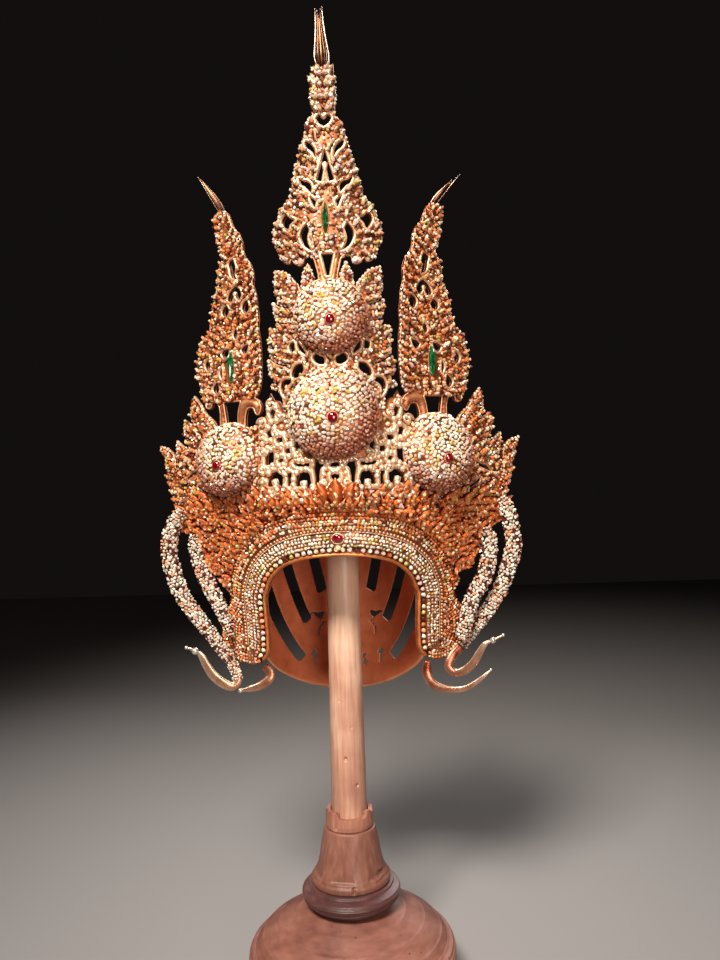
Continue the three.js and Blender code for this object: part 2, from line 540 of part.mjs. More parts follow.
function standCollar() {
  const inner = POST_RADIUS_BOTTOM + 0.6;
  const profile = [
    [inner, FOOT_TOP_Z + GAP], [22.4, FOOT_TOP_Z + GAP], [23.4, FOOT_TOP_Z + 5], [22.8, COLLAR_TOP_Z - 5],
    [21.4, COLLAR_TOP_Z], [inner, COLLAR_TOP_Z], [inner, FOOT_TOP_Z + GAP],
  ];
  // The collar is split on its left front, and a chip is missing from its rim.
  const split = new THREE.BoxGeometry(5, 12, 40).translate(-16.5, -16, COLLAR_TOP_Z).rotateZ(0.1);
  const chip = new THREE.BoxGeometry(22, 12, 8).translate(-1, -24, COLLAR_TOP_Z + 0.5).rotateY(0.1);
  return geometryOf(solid(turned(profile)).subtract(solid(split)).subtract(solid(chip)));
}

function standPost() {
  const knob = POST_RADIUS_TOP;
  const bottom = FOOT_TOP_Z + GAP;
  const profile = [[0, bottom], [POST_RADIUS_BOTTOM, bottom], [POST_RADIUS_TOP, POST_TOP_Z - knob]];
  const steps = 5;
  for (let i = 1; i <= steps; i += 1) {
    const angle = (Math.PI / 2) * (i / steps);
    profile.push([knob * Math.cos(angle) * (i < steps ? 1 : 0), POST_TOP_Z - knob + knob * Math.sin(angle)]);
  }
  let post = solid(turned(profile));
  const holes = [{ x: -1.5, z: 232, radius: 1.3 }, { x: 9, z: 206, radius: 1.1 }];
  for (const { x, z, radius } of holes) {
    const drill = new THREE.CylinderGeometry(radius, radius, 16, 8).translate(x, -16, z);
    post = post.subtract(solid(drill));
  }
  return geometryOf(post);
}

// The cap before it is cut: a rounded dome, closed below, 'inset' inside the outer surface.
function capBody(inset, bottomZ) {
  const top = CAP.topRise - inset;
  const profile = [];
  const roundness = 1 / CAP.squareness;
  for (let i = 0; i <= CAP.rings; i += 1) {
    const angle = (Math.PI / 2) * (i / CAP.rings);
    const radius = i === 0 ? 0 : Math.sin(angle) ** (2 * roundness);
    profile.push([radius, CAP.centerZ + top * Math.cos(angle) ** (2 * roundness) * (i < CAP.rings ? 1 : 0)]);
  }
  const lowerRings = 3;
  for (let i = 1; i <= lowerRings; i += 1) {
    const z = CAP.centerZ + ((bottomZ - CAP.centerZ) * i) / lowerRings;
    const fall = (CAP.centerZ - z) / CAP.bottomDrop;
    profile.push([(1 - fall ** CAP.squareness) ** roundness, z]);
  }
  profile.push([0, bottomZ]);
  const points = profile.reverse().map(([radius, z]) => new THREE.Vector2(radius, z));
  const body = new THREE.LatheGeometry(points, CAP.sides).rotateX(Math.PI / 2);
  const position = body.attributes.position;
  for (let i = 0; i < position.count; i += 1) {
    const depth = position.getY(i) < 0 ? CAP.frontDepth : CAP.backDepth;
    position.setX(i, position.getX(i) * (CAP.halfWidth - inset));
    position.setY(i, CAP.centerY + position.getY(i) * (depth - inset));
  }
  return solid(body);
}

// A prism along Y through the cap wall, from an outline of x, z points.
function prism(points, fromY, toY) {
  const shape = new THREE.Shape(points);
  const geometry = new THREE.ExtrudeGeometry(shape, { depth: toY - fromY, bevelEnabled: false });
  geometry.rotateX(Math.PI / 2).translate(0, toY, 0);
  return solid(geometry);
}

function petalSlot({ half, line }) {
  const [start, middle, end] = line.map(([x, z]) => new THREE.Vector2(x, z));
  const spine = new THREE.QuadraticBezierCurve(start, middle, end);
  const steps = 3;
  const left = [];
  const right = [];
  for (let i = 0; i <= steps; i += 1) {
    const point = spine.getPoint(i / steps);
    const along = spine.getTangent(i / steps);
    const across = new THREE.Vector2(-along.y, along.x).multiplyScalar(half);
    left.push(point.clone().add(across));
    right.push(point.clone().sub(across));
  }
  const tip = end.clone().addScaledVector(spine.getTangent(1), half * 1.6);
  return [...right, tip, ...left.reverse()];
}

function napeCutter() {
  const steps = 10;
  const points = [];
  for (let i = 0; i <= steps; i += 1) {
    const share = -1 + (2 * i) / steps;
    const bow = 1 - Math.sqrt(Math.max(0, 1 - share * share * 0.96));
    const rise = (NAPE_EDGE.sideZ - NAPE_EDGE.middleZ) * bow;
    points.push(new THREE.Vector2(share * (NAPE_EDGE.halfWidth + 6), NAPE_EDGE.middleZ + rise));
  }
  const low = 200;
  const beyond = NAPE_EDGE.halfWidth + 6;
  points.push(new THREE.Vector2(beyond, low), new THREE.Vector2(-beyond, low));
  return prism(points.reverse(), -150, 150);
}

function capShell() {
  const floor = 250;
  let shell = capBody(0, floor).subtract(capBody(CAP.wall, floor - 10));
  // Everything ahead of the brow band's back is cut away, so the shell ends against the band.
  const reach = 160;
  const ahead = new THREE.BoxGeometry(260, 400, reach, 12, 6, 1).translate(0, 400, reach / 2);
  shell = shell.subtract(solid(wrapOnFront(ahead, 0, BAND_SHEET + CAP.edgeGap)));
  shell = shell.subtract(napeCutter());
  for (const slot of PETAL_SLOTS) {
    const points = petalSlot(slot);
    shell = shell.subtract(prism(points, 5, 140)).subtract(prism(mirrorPoints(points), 5, 140));
  }
  for (const rows of NAPE_MOTIFS) {
    const points = trace(rows);
    shell = shell.subtract(prism(points, 40, 140)).subtract(prism(mirrorPoints(points), 40, 140));
  }
  return geometryOf(shell);
}

// The dome's face is turned about its upright axis, and the rim's wall fills the wedge behind it.
function domedDisc({ radius, rise, drop, turn }) {
  const wall = 1.8;
  const seat = 5;
  const steps = 3;
  const outer = [];
  const inner = [];
  for (let i = 0; i <= steps; i += 1) {
    const angle = (Math.PI / 2) * (i / steps);
    outer.push([seat + (radius - seat) * Math.cos(angle), 1 + (rise - 1) * Math.sin(angle)]);
    inner.push([(radius - wall) * Math.cos(angle) * (i < steps ? 1 : 0), (rise - wall) * Math.sin(angle)]);
  }
  const profile = [...inner.reverse(), [radius, 0], ...outer, [0, rise]];
  const sides = 22;
  const points = profile.map(([r, z]) => new THREE.Vector2(r, z));
  const disc = new THREE.LatheGeometry(points, sides).rotateX(Math.PI / 2);
  return turnFace(shearDown(disc, drop / rise), radius, turn);
}

// Turns what stands off the back plane about the upright axis, and lifts it until the inner rim is clear.
function turnFace(geometry, radius, turn) {
  const position = geometry.attributes.position;
  for (let i = 0; i < position.count; i += 1) {
    const x = position.getX(i);
    const z = position.getZ(i);
    if (z > 0.01) {
      position.setX(i, x * Math.cos(turn) - z * Math.sin(turn));
      position.setZ(i, x * Math.sin(turn) + z * Math.cos(turn) + radius * Math.sin(turn));
    }
  }
  return geometry;
}

// Moves each point down in step with its height above the back, so that the apex sits low.
function shearDown(geometry, slope) {
  const shear = new THREE.Matrix4().set(1, 0, 0, 0, 0, 1, -slope, 0, 0, 0, 1, 0, 0, 0, 0, 1);
  return geometry.applyMatrix4(shear);
}

function cabochon(radiusX, radiusZ, rise) {
  const steps = 3;
  const points = [new THREE.Vector2(0, 0)];
  for (let i = 0; i <= steps; i += 1) {
    const angle = (Math.PI / 2) * (i / steps);
    points.push(new THREE.Vector2(i < steps ? Math.cos(angle) : 0, 0.25 + 0.75 * Math.sin(angle)));
  }
  points.splice(1, 0, new THREE.Vector2(1, 0));
  return new THREE.LatheGeometry(points, 10).rotateX(Math.PI / 2).scale(radiusX, radiusZ, rise);
}

function marquise({ halfWidth, halfLength }) {
  const bevel = 1;
  const shape = new THREE.Shape();
  const reachZ = halfLength - bevel;
  const reachX = 2 * (halfWidth - bevel);
  shape.moveTo(0, -reachZ);
  shape.quadraticCurveTo(reachX, 0, 0, reachZ);
  shape.quadraticCurveTo(-reachX, 0, 0, -reachZ);
  return new THREE.ExtrudeGeometry(shape, {
    depth: 0.8, bevelEnabled: true, bevelThickness: EMERALD_RISE - 0.8, bevelSize: bevel,
    bevelSegments: 1, curveSegments: 4,
  });
}

// A bundle of thin blades, as one fluted spike. 'lean' is the sideways reach of its end.
function tipBundle(base, { lean, height, radius }, rings) {
  const blades = 5;
  const spike = new THREE.CylinderGeometry(1, 1, 1, 2 * blades, rings.length - 1);
  const position = spike.attributes.position;
  for (let i = 0; i < position.count; i += 1) {
    const ring = Math.round((position.getY(i) + 0.5) * (rings.length - 1));
    const [share, spread] = rings[ring];
    const angle = Math.atan2(position.getZ(i), position.getX(i));
    const flute = Math.sin(blades * angle) > 0 ? 1 : 0.7;
    const reach = Math.hypot(position.getX(i), position.getZ(i)) * radius * spread * flute;
    const x = base.x + lean * share ** 1.2 + Math.cos(angle) * reach;
    position.setXYZ(i, x, base.y - Math.sin(angle) * reach, base.z + height * share);
  }
  return spike;
}

// ---------------------------------------------------------------- assembly: stand

add('stand_drum', standDrum(), rawWood(0xb07a63));
add('stand_ring', standRing(), rawWood(0x8d5c50));
add('stand_foot', standFoot(), rawWood(0xa87560));
add('stand_collar', standCollar(), rawWood(0xa06a58));
add('stand_post', standPost(), rawWood(0xb8846c));

// ---------------------------------------------------------------- assembly: cap and front plates

add('cap_shell', capShell(), gildedMetal(0x8a4a28));
add('brow_band', frontPlate(symmetricalOutline(BAND_HALF), [], BAND_SHEET), gildedMetal());
const diademPlate = frontPlate(symmetricalOutline(DIADEM_HALF), bothSides(DIADEM_HOLES));
add('diadem_plate', diademPlate, gildedMetal(0xc8682a));
add('lattice_plate', frontPlate(symmetricalOutline(LATTICE_HALF),
  [...LATTICE_MIDDLE_HOLES.map(trace), ...bothSides(LATTICE_HOLES)]), gildedMetal(0xe0a860));
addPair('side_leaf_plate', frontPlate(trace(SIDE_LEAF_RIGHT), SIDE_LEAF_HOLES.map(trace)), gildedMetal());
add('upper_leaf_plate', frontPlate(leaned(symmetricalOutline(UPPER_LEAF_HALF)),
  bothSides(UPPER_LEAF_HOLES).map(leaned)), gildedMetal());
const centerSpireHoles = [...SPIRE_MIDDLE_HOLES.map(trace), ...bothSides(SPIRE_SIDE_HOLES)];
add('spire_center', frontPlate(shifted(symmetricalOutline(SPIRE_HALF), CENTER_SPIRE_SHIFT),
  centerSpireHoles.map((points) => shifted(points, CENTER_SPIRE_SHIFT))), gildedMetal());
for (const [side, shift] of Object.entries(SPIRE_SHIFT)) {
  const outline = shifted(trace(SIDE_SPIRE), shift);
  const holes = SIDE_SPIRE_HOLES.map((rows) => shifted(trace(rows), shift));
  addOnSide(side, `spire_${side}`, frontPlate(outline, holes), gildedMetal());
}

// ---------------------------------------------------------------- assembly: blade tips

const tipMaterial = gildedMetal(0xb07040);
const centerTipBase = onFront(CENTER_SPIRE_SHIFT, 844 + GAP, -SHEET / 2);
add('tip_center', tipBundle(centerTipBase, TIPS.center, CENTER_TIP_RINGS), tipMaterial);
for (const [side, shift] of Object.entries(SPIRE_SHIFT)) {
  const base = onFront(97 + shift, 744 + GAP, -SHEET / 2);
  addOnSide(side, `tip_${side}`, tipBundle(base, TIPS[side], SIDE_TIP_RINGS), tipMaterial.clone());
}

// ---------------------------------------------------------------- assembly: discs and stones

const discMaterial = gildedMetal(0xe0b878);
const rubyMaterial = gemstone(0x8a0a12);

function addDiscWithRuby(side, disc, discName, rubyName) {
  const place = placeOnFront(new THREE.Object3D(), disc.x, disc.z, GAP);
  place.updateMatrix();
  const dome = domedDisc(disc).applyMatrix4(place.matrix);
  addOnSide(side, discName, dome, discMaterial.clone());
  const ruby = cabochon(disc.ruby, disc.ruby * 1.12, RUBY_RISE).translate(0, -disc.drop, disc.rise + GAP);
  turnFace(ruby, disc.radius, disc.turn);
  addOnSide(side, rubyName, ruby.applyMatrix4(place.matrix), rubyMaterial.clone());
}

addDiscWithRuby('right', DISCS.center, 'center_disc', 'ruby_center');
addDiscWithRuby('right', DISCS.upper, 'upper_disc', 'ruby_upper');
addDiscWithRuby('right', DISCS.right, 'side_disc_right', 'ruby_side_right');
addDiscWithRuby('left', DISCS.left, 'side_disc_left', 'ruby_side_left');

const BROW_RUBY_Z = 445;
placeOnFront(add('ruby_brow', cabochon(5, 4.2, RUBY_RISE), rubyMaterial.clone()), 0, BROW_RUBY_Z, GAP);

const emeraldMaterial = gemstone(0x0c5a30);
const centerEmerald = add('emerald_center', marquise(MARQUISE.center).translate(0, 0, 1), emeraldMaterial);
placeOnFront(centerEmerald, MARQUISE.center.x, MARQUISE.center.z, GAP + 1);
for (const [side, shift] of Object.entries(SPIRE_SHIFT)) {
  const stone = new THREE.Mesh(marquise(MARQUISE.side).translate(0, 0, 1));
  placeOnFront(stone, MARQUISE.side.x + shift, MARQUISE.side.z, GAP + 1).updateMatrix();
  addOnSide(side, `emerald_${side}`, stone.geometry.applyMatrix4(stone.matrix), emeraldMaterial.clone());
}

// ---------------------------------------------------------------- assembly: tresses and tendrils

const tressMaterial = gildedMetal(0xb0a090);
for (const [name, rows] of Object.entries(TRESSES)) add(name, taperedStrap(rows, 8), tressMaterial.clone());
for (const [name, rows] of Object.entries(TENDRILS)) add(name, taperedStrap(rows, 6), gildedMetal(0xc08050));

export default headdress;
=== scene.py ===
"""Looks of an apsara headdress on its wooden stand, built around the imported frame.

Lengths in the numpy arrays are millimetres, and become metres when a Shape is built into a mesh.
The pieces of the crown's front are laid out flat, as x and z, and are then bent onto its curved surface.
"""

import math

import bpy
import numpy as np
from mathutils import Matrix, Vector
from mathutils.geometry import delaunay_2d_cdt
from mathutils.kdtree import KDTree


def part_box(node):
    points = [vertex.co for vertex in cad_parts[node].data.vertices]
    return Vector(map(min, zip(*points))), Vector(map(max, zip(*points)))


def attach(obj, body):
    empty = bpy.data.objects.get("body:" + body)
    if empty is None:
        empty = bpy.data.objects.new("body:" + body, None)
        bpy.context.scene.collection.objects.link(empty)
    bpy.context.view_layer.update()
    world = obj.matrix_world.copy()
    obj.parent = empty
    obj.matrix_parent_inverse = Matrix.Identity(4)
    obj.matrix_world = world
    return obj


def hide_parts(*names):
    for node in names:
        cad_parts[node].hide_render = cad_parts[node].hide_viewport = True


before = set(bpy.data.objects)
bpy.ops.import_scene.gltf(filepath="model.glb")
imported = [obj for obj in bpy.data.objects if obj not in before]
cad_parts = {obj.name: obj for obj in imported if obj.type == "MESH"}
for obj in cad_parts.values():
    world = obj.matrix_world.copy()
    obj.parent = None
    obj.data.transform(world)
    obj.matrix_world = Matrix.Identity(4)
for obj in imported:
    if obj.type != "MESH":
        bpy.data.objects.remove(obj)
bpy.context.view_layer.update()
rng = np.random.default_rng(11)

MM = 0.001

# ---------------------------------------------------------------- the curved front, as in the frame

FRONT_Y = -97.0        # foremost line of the front, on the middle plane
FRONT_SWEEP = 0.8      # how fast the front falls back towards the sides
FRONT_BEND = 50.0      # half-width of the tight bend in the middle
LEAN_Z = 478.8         # below this height the front leans back towards the ears
LEAN = 0.33            # and by this much for each millimetre of height


def front_y(x, z):
    """The front surface's y at x and z."""
    bow = FRONT_SWEEP * (np.hypot(x, FRONT_BEND) - FRONT_BEND)
    return FRONT_Y + bow + np.maximum(0.0, LEAN_Z - z) * LEAN


def front_normal(flat):
    """The front surface's outward directions at flat points."""
    x, z = flat[:, 0], flat[:, 1]
    across = FRONT_SWEEP * x / np.hypot(x, FRONT_BEND)
    upward = np.where(z < LEAN_Z, -LEAN, 0.0)
    return unit(np.stack([across, -np.ones_like(x), upward], axis=1))


def on_front(flat, outward):
    """Places flat points (x, z) at the given distance outside the front surface."""
    x, z = flat[:, 0], flat[:, 1]
    place = np.stack([x, front_y(x, z), z], axis=1)
    return place + front_normal(flat) * np.reshape(outward, (-1, 1))


def unit(vectors):
    length = np.linalg.norm(vectors, axis=-1, keepdims=True)
    return vectors / np.maximum(length, 1e-9)


def axes_at(x, z):
    """Directions across, up and outward at a place on the front."""
    outward = front_normal(np.array([[x, z]], float))[0]
    across = unit(np.cross([0.0, 0.0, 1.0], outward))
    return np.stack([across, np.cross(outward, across), outward])


def box(node):
    """The lowest and the highest corner of one of the frame's nodes."""
    return (np.array(corner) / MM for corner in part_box(node))


def node_points(node):
    return np.array([vertex.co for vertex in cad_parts[node].data.vertices]) / MM


def around(sides):
    """Evenly spaced angles over a full turn."""
    return np.arange(sides) * 2 * math.pi / sides


def flat_tree(points):
    """A search tree of flat points."""
    tree = KDTree(len(points))
    for i, (x, z) in enumerate(points):
        tree.insert((x, z, 0), i)
    tree.balance()
    return tree


def lengths_along(line):
    """Each point's distance from the first, measured along the line."""
    return np.concatenate([[0], np.cumsum(np.linalg.norm(np.diff(line, axis=0), axis=1))])


def nearest(tree, flat):
    """For each flat point, the index of the tree's nearest point and the distance to it."""
    found = [tree.find((x, z, 0)) for x, z in flat]
    return np.array([hit[1] for hit in found], int), np.array([hit[2] for hit in found])


# ---------------------------------------------------------------- meshes

class Shape:
    """Gathers points and faces, and builds them into one Blender mesh."""

    def __init__(self):
        self.points, self.faces, self.slots, self.smooth, self.shades = [], [], [], [], []
        self.count = 0

    def add(self, points, face_groups, slot, smooth, shade):
        """Each face group holds faces with the same number of corners. The materials read the shade."""
        for faces in face_groups:
            self.add_faces(faces, self.count, slot, smooth)
        self.points.append(points)
        self.shades.append(np.broadcast_to(shade, len(points)))
        self.count += len(points)

    def add_faces(self, faces, first, slot, smooth):
        """Faces whose corners are counted from the given first point."""
        self.faces.append(faces + first)
        self.slots.append(np.full(len(faces), slot))
        self.smooth.append(np.full(len(faces), smooth))

    def build(self, name, materials, nodes=(), side=1):
        """Side -1 builds the mirror image, for the left of a pair."""
        mesh = bpy.data.meshes.new(name)
        points = np.concatenate(self.points) * MM * [side, 1, 1]
        corners = np.concatenate([faces[:, ::side].ravel() for faces in self.faces])
        sizes = np.concatenate([np.full(len(faces), faces.shape[1]) for faces in self.faces])
        mesh.vertices.add(len(points))
        mesh.vertices.foreach_set("co", points.ravel())
        mesh.loops.add(len(corners))
        mesh.loops.foreach_set("vertex_index", corners.astype(np.int32))
        mesh.polygons.add(len(sizes))
        starts = np.concatenate([[0], np.cumsum(sizes)[:-1]])
        mesh.polygons.foreach_set("loop_start", starts.astype(np.int32))
        mesh.polygons.foreach_set("material_index", np.concatenate(self.slots).astype(np.int32))
        mesh.polygons.foreach_set("use_smooth", np.concatenate(self.smooth))
        shade = mesh.attributes.new("shade", "FLOAT", "POINT")
        shade.data.foreach_set("value", np.concatenate(self.shades))
        mesh.update(calc_edges=True)
        for material in materials:
            mesh.materials.append(material)
        piece = bpy.data.objects.new(name, mesh)
        bpy.context.scene.collection.objects.link(piece)
        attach(piece, "root")
        if nodes:
            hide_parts(*nodes)


def grid_faces(rows, columns):
    """Quads of a grid whose points are stored row by row, and whose last column joins the first."""
    row, column = np.meshgrid(np.arange(rows - 1), np.arange(columns), indexing="ij")
    after = (column + 1) % columns
    corners = [row * columns + column, row * columns + after,
               (row + 1) * columns + after, (row + 1) * columns + column]
    return np.stack([corner.ravel() for corner in corners], axis=1)


def end_faces(rows, sides):
    """The first and the last row of a grid, each as one face."""
    first = np.arange(sides)
    return np.stack([first[::-1], (rows - 1) * sides + first])


def add_tube(shape, path, normals, radius, sides, closed, slot, shade, depth=1.0):
    """A tube along a path. Its normals fix how it is turned, and depth is its thickness along them, as a
    share of its width."""
    if closed:
        tangent = unit(np.roll(path, -1, axis=0) - np.roll(path, 1, axis=0))
    else:
        tangent = unit(np.gradient(path, axis=0))
    side = unit(np.cross(tangent, normals))[:, None, :]
    up = np.cross(side[:, 0], tangent)[:, None, :]
    angle = around(sides)[None, :, None]
    radius = np.broadcast_to(radius, len(path))[:, None, None]
    ring = np.cos(angle) * side + depth * np.sin(angle) * up
    points = (path[:, None, :] + ring * radius).reshape(-1, 3)
    ends = end_faces(len(path), sides)
    if closed:
        first, last = ends[0, ::-1], ends[1]
        ends = np.stack([last, np.roll(last, -1), np.roll(first, -1), first], axis=1)
    shape.add(points, [grid_faces(len(path), sides), ends], slot, True, shade)


TABLE = 0.56          # width of a stone's flat table, as a share of its girdle
SUNK = 0.1            # how deep its girdle is set, as a share of its radius


def add_stones(shape, centres, normals, radii, sides=6, slot=1, height=0.55, tilt=0.12, shade=1.0,
               uneven=0.2):
    """Cut stones: a ring of facets round a flat table, each stone turned, tilted and drawn out a little."""
    count = len(centres)
    normals = unit(normals + rng.normal(0, tilt, (count, 3)))
    helper = unit(rng.normal(0, 1, (count, 3)))
    side = unit(np.cross(helper, normals))
    up = np.cross(normals, side)
    radii = np.broadcast_to(radii, count)[:, None, None]
    stretch = 1 + uneven * rng.uniform(-1, 1, (count, 1, 1))
    angle = around(sides)[:, None]
    ring = np.cos(angle) * side[:, None, :] * stretch + np.sin(angle) * up[:, None, :] / stretch
    girdle = centres[:, None, :] + ring * radii - SUNK * radii * normals[:, None, :]
    table = ring * TABLE + side[:, None, :] * rng.uniform(-0.15, 0.15, (count, 1, 1))
    top = centres[:, None, :] + table * radii + height * radii * normals[:, None, :]
    points = np.concatenate([girdle, top], axis=1).reshape(-1, 3)
    first = (np.arange(count) * 2 * sides)[:, None]
    step = np.arange(sides)
    after = (step + 1) % sides
    quads = np.stack([first + step, first + after, first + sides + after, first + sides + step], axis=2)
    shades = np.repeat(np.broadcast_to(shade, count), 2 * sides)
    shape.add(points, [quads.reshape(-1, 4), first + sides + step], slot, False, shades)


def add_balls(shape, centres, radii, slot, shade, rings, sides):
    """Small round beads."""
    theta = np.linspace(0, math.pi, rings + 1)
    phi = around(sides)
    ball = np.stack([np.outer(np.sin(theta), np.cos(phi)), np.outer(np.sin(theta), np.sin(phi)),
                     np.outer(np.cos(theta), np.ones(sides))], axis=2).reshape(-1, 3)
    radii = np.broadcast_to(radii, len(centres))
    points = centres[:, None, :] + ball[None] * radii[:, None, None]
    faces = grid_faces(rings + 1, sides)[:, ::-1]
    faces = (faces[None] + (np.arange(len(centres)) * len(ball))[:, None, None]).reshape(-1, 4)
    shape.add(points.reshape(-1, 3), [faces], slot, True, shade)


# ---------------------------------------------------------------- outlines of the frame's plates

SAME_PLACE = 0.02                     # points this close count as one
SHORTEST_EDGE = 0.25
STRAIGHT = math.radians(1.5)          # a smaller turn than this is left out
SHARP = math.radians(64)              # a larger turn than this stays a corner
SPACING, FINE_SPACING = 1.3, 0.35     # between an outline's points


def front_loops(node):
    """The edges of a plate's front face as closed rings of x and z, read from the frame's node."""
    points = node_points(node)
    corners = np.array([polygon.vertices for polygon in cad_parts[node].data.polygons])
    merged = {}
    keys = np.round(points / SAME_PLACE).astype(int)
    same = np.array([merged.setdefault(tuple(key), i) for i, key in enumerate(keys)])
    on_face = np.abs(points[:, 1] - front_y(points[:, 0], points[:, 2])) < SAME_PLACE
    triangles = same[corners[on_face[corners].all(axis=1)]]
    edges = {(a, b) for triangle in triangles for a, b in zip(triangle, np.roll(triangle, -1)) if a != b}
    follows = {a: b for a, b in edges if (b, a) not in edges}
    loops = []
    while follows:
        start, here = follows.popitem()
        loop = [start]
        while here != start:
            loop.append(here)
            here = follows.pop(here)
        loops.append(points[loop][:, [0, 2]])
    return sorted(loops, key=lambda loop: -abs(area(loop)))


def area(loop):
    """A closed loop's area, negative where it runs clockwise."""
    after = np.roll(loop, -1, axis=0)
    return 0.5 * np.sum(loop[:, 0] * after[:, 1] - after[:, 0] * loop[:, 1])


def edge_directions(loop):
    """The directions of the edges before and after each point of a closed loop."""
    after = unit(np.roll(loop, -1, axis=0) - loop)
    return np.roll(after, 1, axis=0), after


def turning(loop):
    """The angle by which a closed loop turns at each point."""
    before, after = edge_directions(loop)
    return np.arccos(np.clip(np.sum(before * after, axis=1), -1, 1))


def inward_of(loop):
    """Flat directions into the metal along a closed edge."""
    along = unit(np.roll(loop, -1, axis=0) - np.roll(loop, 1, axis=0))
    return np.stack([-along[:, 1], along[:, 0]], axis=1)


def simplified(loop):
    """Without very short edges and points on straight runs."""
    loop = loop[np.linalg.norm(loop - np.roll(loop, 1, axis=0), axis=1) > SHORTEST_EDGE]
    return loop[turning(loop) > STRAIGHT]


def rounded(loop):
    """Passes a smooth curve through the points, and keeps the sharp corners."""
    sharp = turning(loop) > SHARP
    for _ in range(3):
        before, after, beyond = (np.roll(loop, step, axis=0) for step in (1, -1, -2))
        edge = after - loop
        length = np.linalg.norm(edge, axis=1, keepdims=True)
        back, ahead = loop - before, beyond - after
        back *= np.minimum(1, length / np.maximum(np.linalg.norm(back, axis=1, keepdims=True), 1e-9))
        ahead *= np.minimum(1, length / np.maximum(np.linalg.norm(ahead, axis=1, keepdims=True), 1e-9))
        back = np.where(sharp[:, None], edge, back)
        ahead = np.where(np.roll(sharp, -1)[:, None], edge, ahead)
        middle = (loop + after) / 2 + (back - ahead) / 16
        loop = np.stack([loop, middle], axis=1).reshape(-1, 2)
        sharp = np.stack([sharp, np.zeros_like(sharp)], axis=1).ravel()
    return loop, sharp


def resampled(loop, sharp, spacing):
    """Even spacing along the loop, with a point kept at each sharp corner."""
    corners = np.flatnonzero(sharp)
    start = corners[0] if len(corners) else 0
    loop, sharp = np.roll(loop, -start, axis=0), np.roll(sharp, -start)
    loop = np.vstack([loop, loop[:1]])
    stops = list(np.flatnonzero(sharp)) or [0]
    stops.append(len(loop) - 1)
    pieces = []
    for a, b in zip(stops[:-1], stops[1:]):
        run = loop[a:b + 1]
        along = lengths_along(run)
        steps = max(1, round(along[-1] / spacing))
        at = np.linspace(0, along[-1], steps + 1)[:-1]
        pieces.append(np.stack([np.interp(at, along, run[:, k]) for k in range(2)], axis=1))
    return np.concatenate(pieces)


class Outline:
    """A plate's smooth edges. depth() tells how far inside them a flat point lies."""

    def __init__(self, node):
        raw = [simplified(loop) for loop in front_loops(node)]
        raw = [loop if (area(loop) > 0) == (i == 0) else loop[::-1] for i, loop in enumerate(raw)]
        smooth = [rounded(loop) for loop in raw]
        self.loops = [resampled(loop, sharp, SPACING) for loop, sharp in smooth]
        self.fine = [resampled(loop, sharp, FINE_SPACING) for loop, sharp in smooth]
        self.inward = [inward_of(loop) for loop in self.fine]
        self.samples = np.concatenate(self.fine)
        self.sample_inward = np.concatenate(self.inward)
        self.tree = flat_tree(self.samples)

    def depth(self, flat):
        index, distance = nearest(self.tree, flat)
        inside = np.sum((flat - self.samples[index]) * self.sample_inward[index], axis=1) > 0
        return np.where(inside, distance, -distance)

    def hex_points(self, spacing, clearance):
        """Flat points in staggered rows that lie deeper inside the plate than the clearance."""
        low, high = self.loops[0].min(axis=0), self.loops[0].max(axis=0)
        rows = np.arange(low[1], high[1], spacing * math.sqrt(3) / 2)
        points = []
        for i, z in enumerate(rows):
            x = np.arange(low[0] + (i % 2) * spacing / 2, high[0], spacing)
            points.append(np.stack([x, np.full(len(x), z)], axis=1))
        points = np.concatenate(points)
        return points[self.depth(points) > clearance]

    def fill(self, spacing):
        """Triangles that fill the plate. Returns points, triangles and each loop's points by index."""
        flat = np.concatenate([*self.loops, self.hex_points(spacing, 0.7 * spacing)])
        edges, first = [], 0
        for loop in self.loops:
            index = first + np.arange(len(loop))
            edges += list(zip(index.tolist(), np.roll(index, -1).tolist()))
            first += len(loop)
        found = delaunay_2d_cdt([Vector(point) for point in flat], edges, [], 1, 1e-5)
        points = np.array([tuple(point) for point in found[0]])
        faces = np.array(found[2])
        faces = faces[self.depth(points[faces].mean(axis=1)) > 0]
        where = {source: i for i, sources in enumerate(found[3]) for source in sources}
        rings, first = [], 0
        for loop in self.loops:
            rings.append(np.array([where[first + i] for i in range(len(loop))]))
            first += len(loop)
        return points, faces, rings


SWELL_REACH = 3.0


def edge_swell(relief):
    """A face that swells from the plate's edges inward, with painted shade that darkens it at the edges."""
    def profile(flat, depth):
        swell = np.sin(np.minimum(depth / SWELL_REACH, 1) * math.pi / 2)
        # painted shade: darkest at the edges, lighter where the face swells
        return relief * swell, 0.15 + 0.3 * swell
    return profile


def add_plate(shape, outline, thickness, profile, spacing=2.0):
    """A sheet bent onto the front. The profile gives the height and shade of its face."""
    points, faces, rings = outline.fill(spacing)
    depth = np.maximum(outline.depth(points), 0)
    for ring in rings:
        depth[ring] = 0
    height, face_shade = profile(points, depth)
    count = len(points)
    front = on_front(points, height)
    back = on_front(points, -thickness)
    walls = []
    for ring in rings:
        after = np.roll(ring, -1)
        walls.append(np.stack([ring, ring + count, after + count, after], axis=1))
    shade = np.concatenate([face_shade, np.full(count, 0.2)])
    groups = [faces[:, ::-1], faces + count, np.concatenate(walls)]
    shape.add(np.concatenate([front, back]), groups, 0, True, shade)


def add_rim(shape, outline, radius, which, outward, slot, shade):
    """A round wire along the chosen loops."""
    for i in which:
        loop = outline.loops[i]
        line = loop + inward_of(loop) * radius * 0.8
        add_tube(shape, on_front(line, outward), front_normal(line), radius, 6, True, slot, shade)


AROUND_CELL = [(right, up) for right in (-1, 0, 1) for up in (-1, 0, 1)]


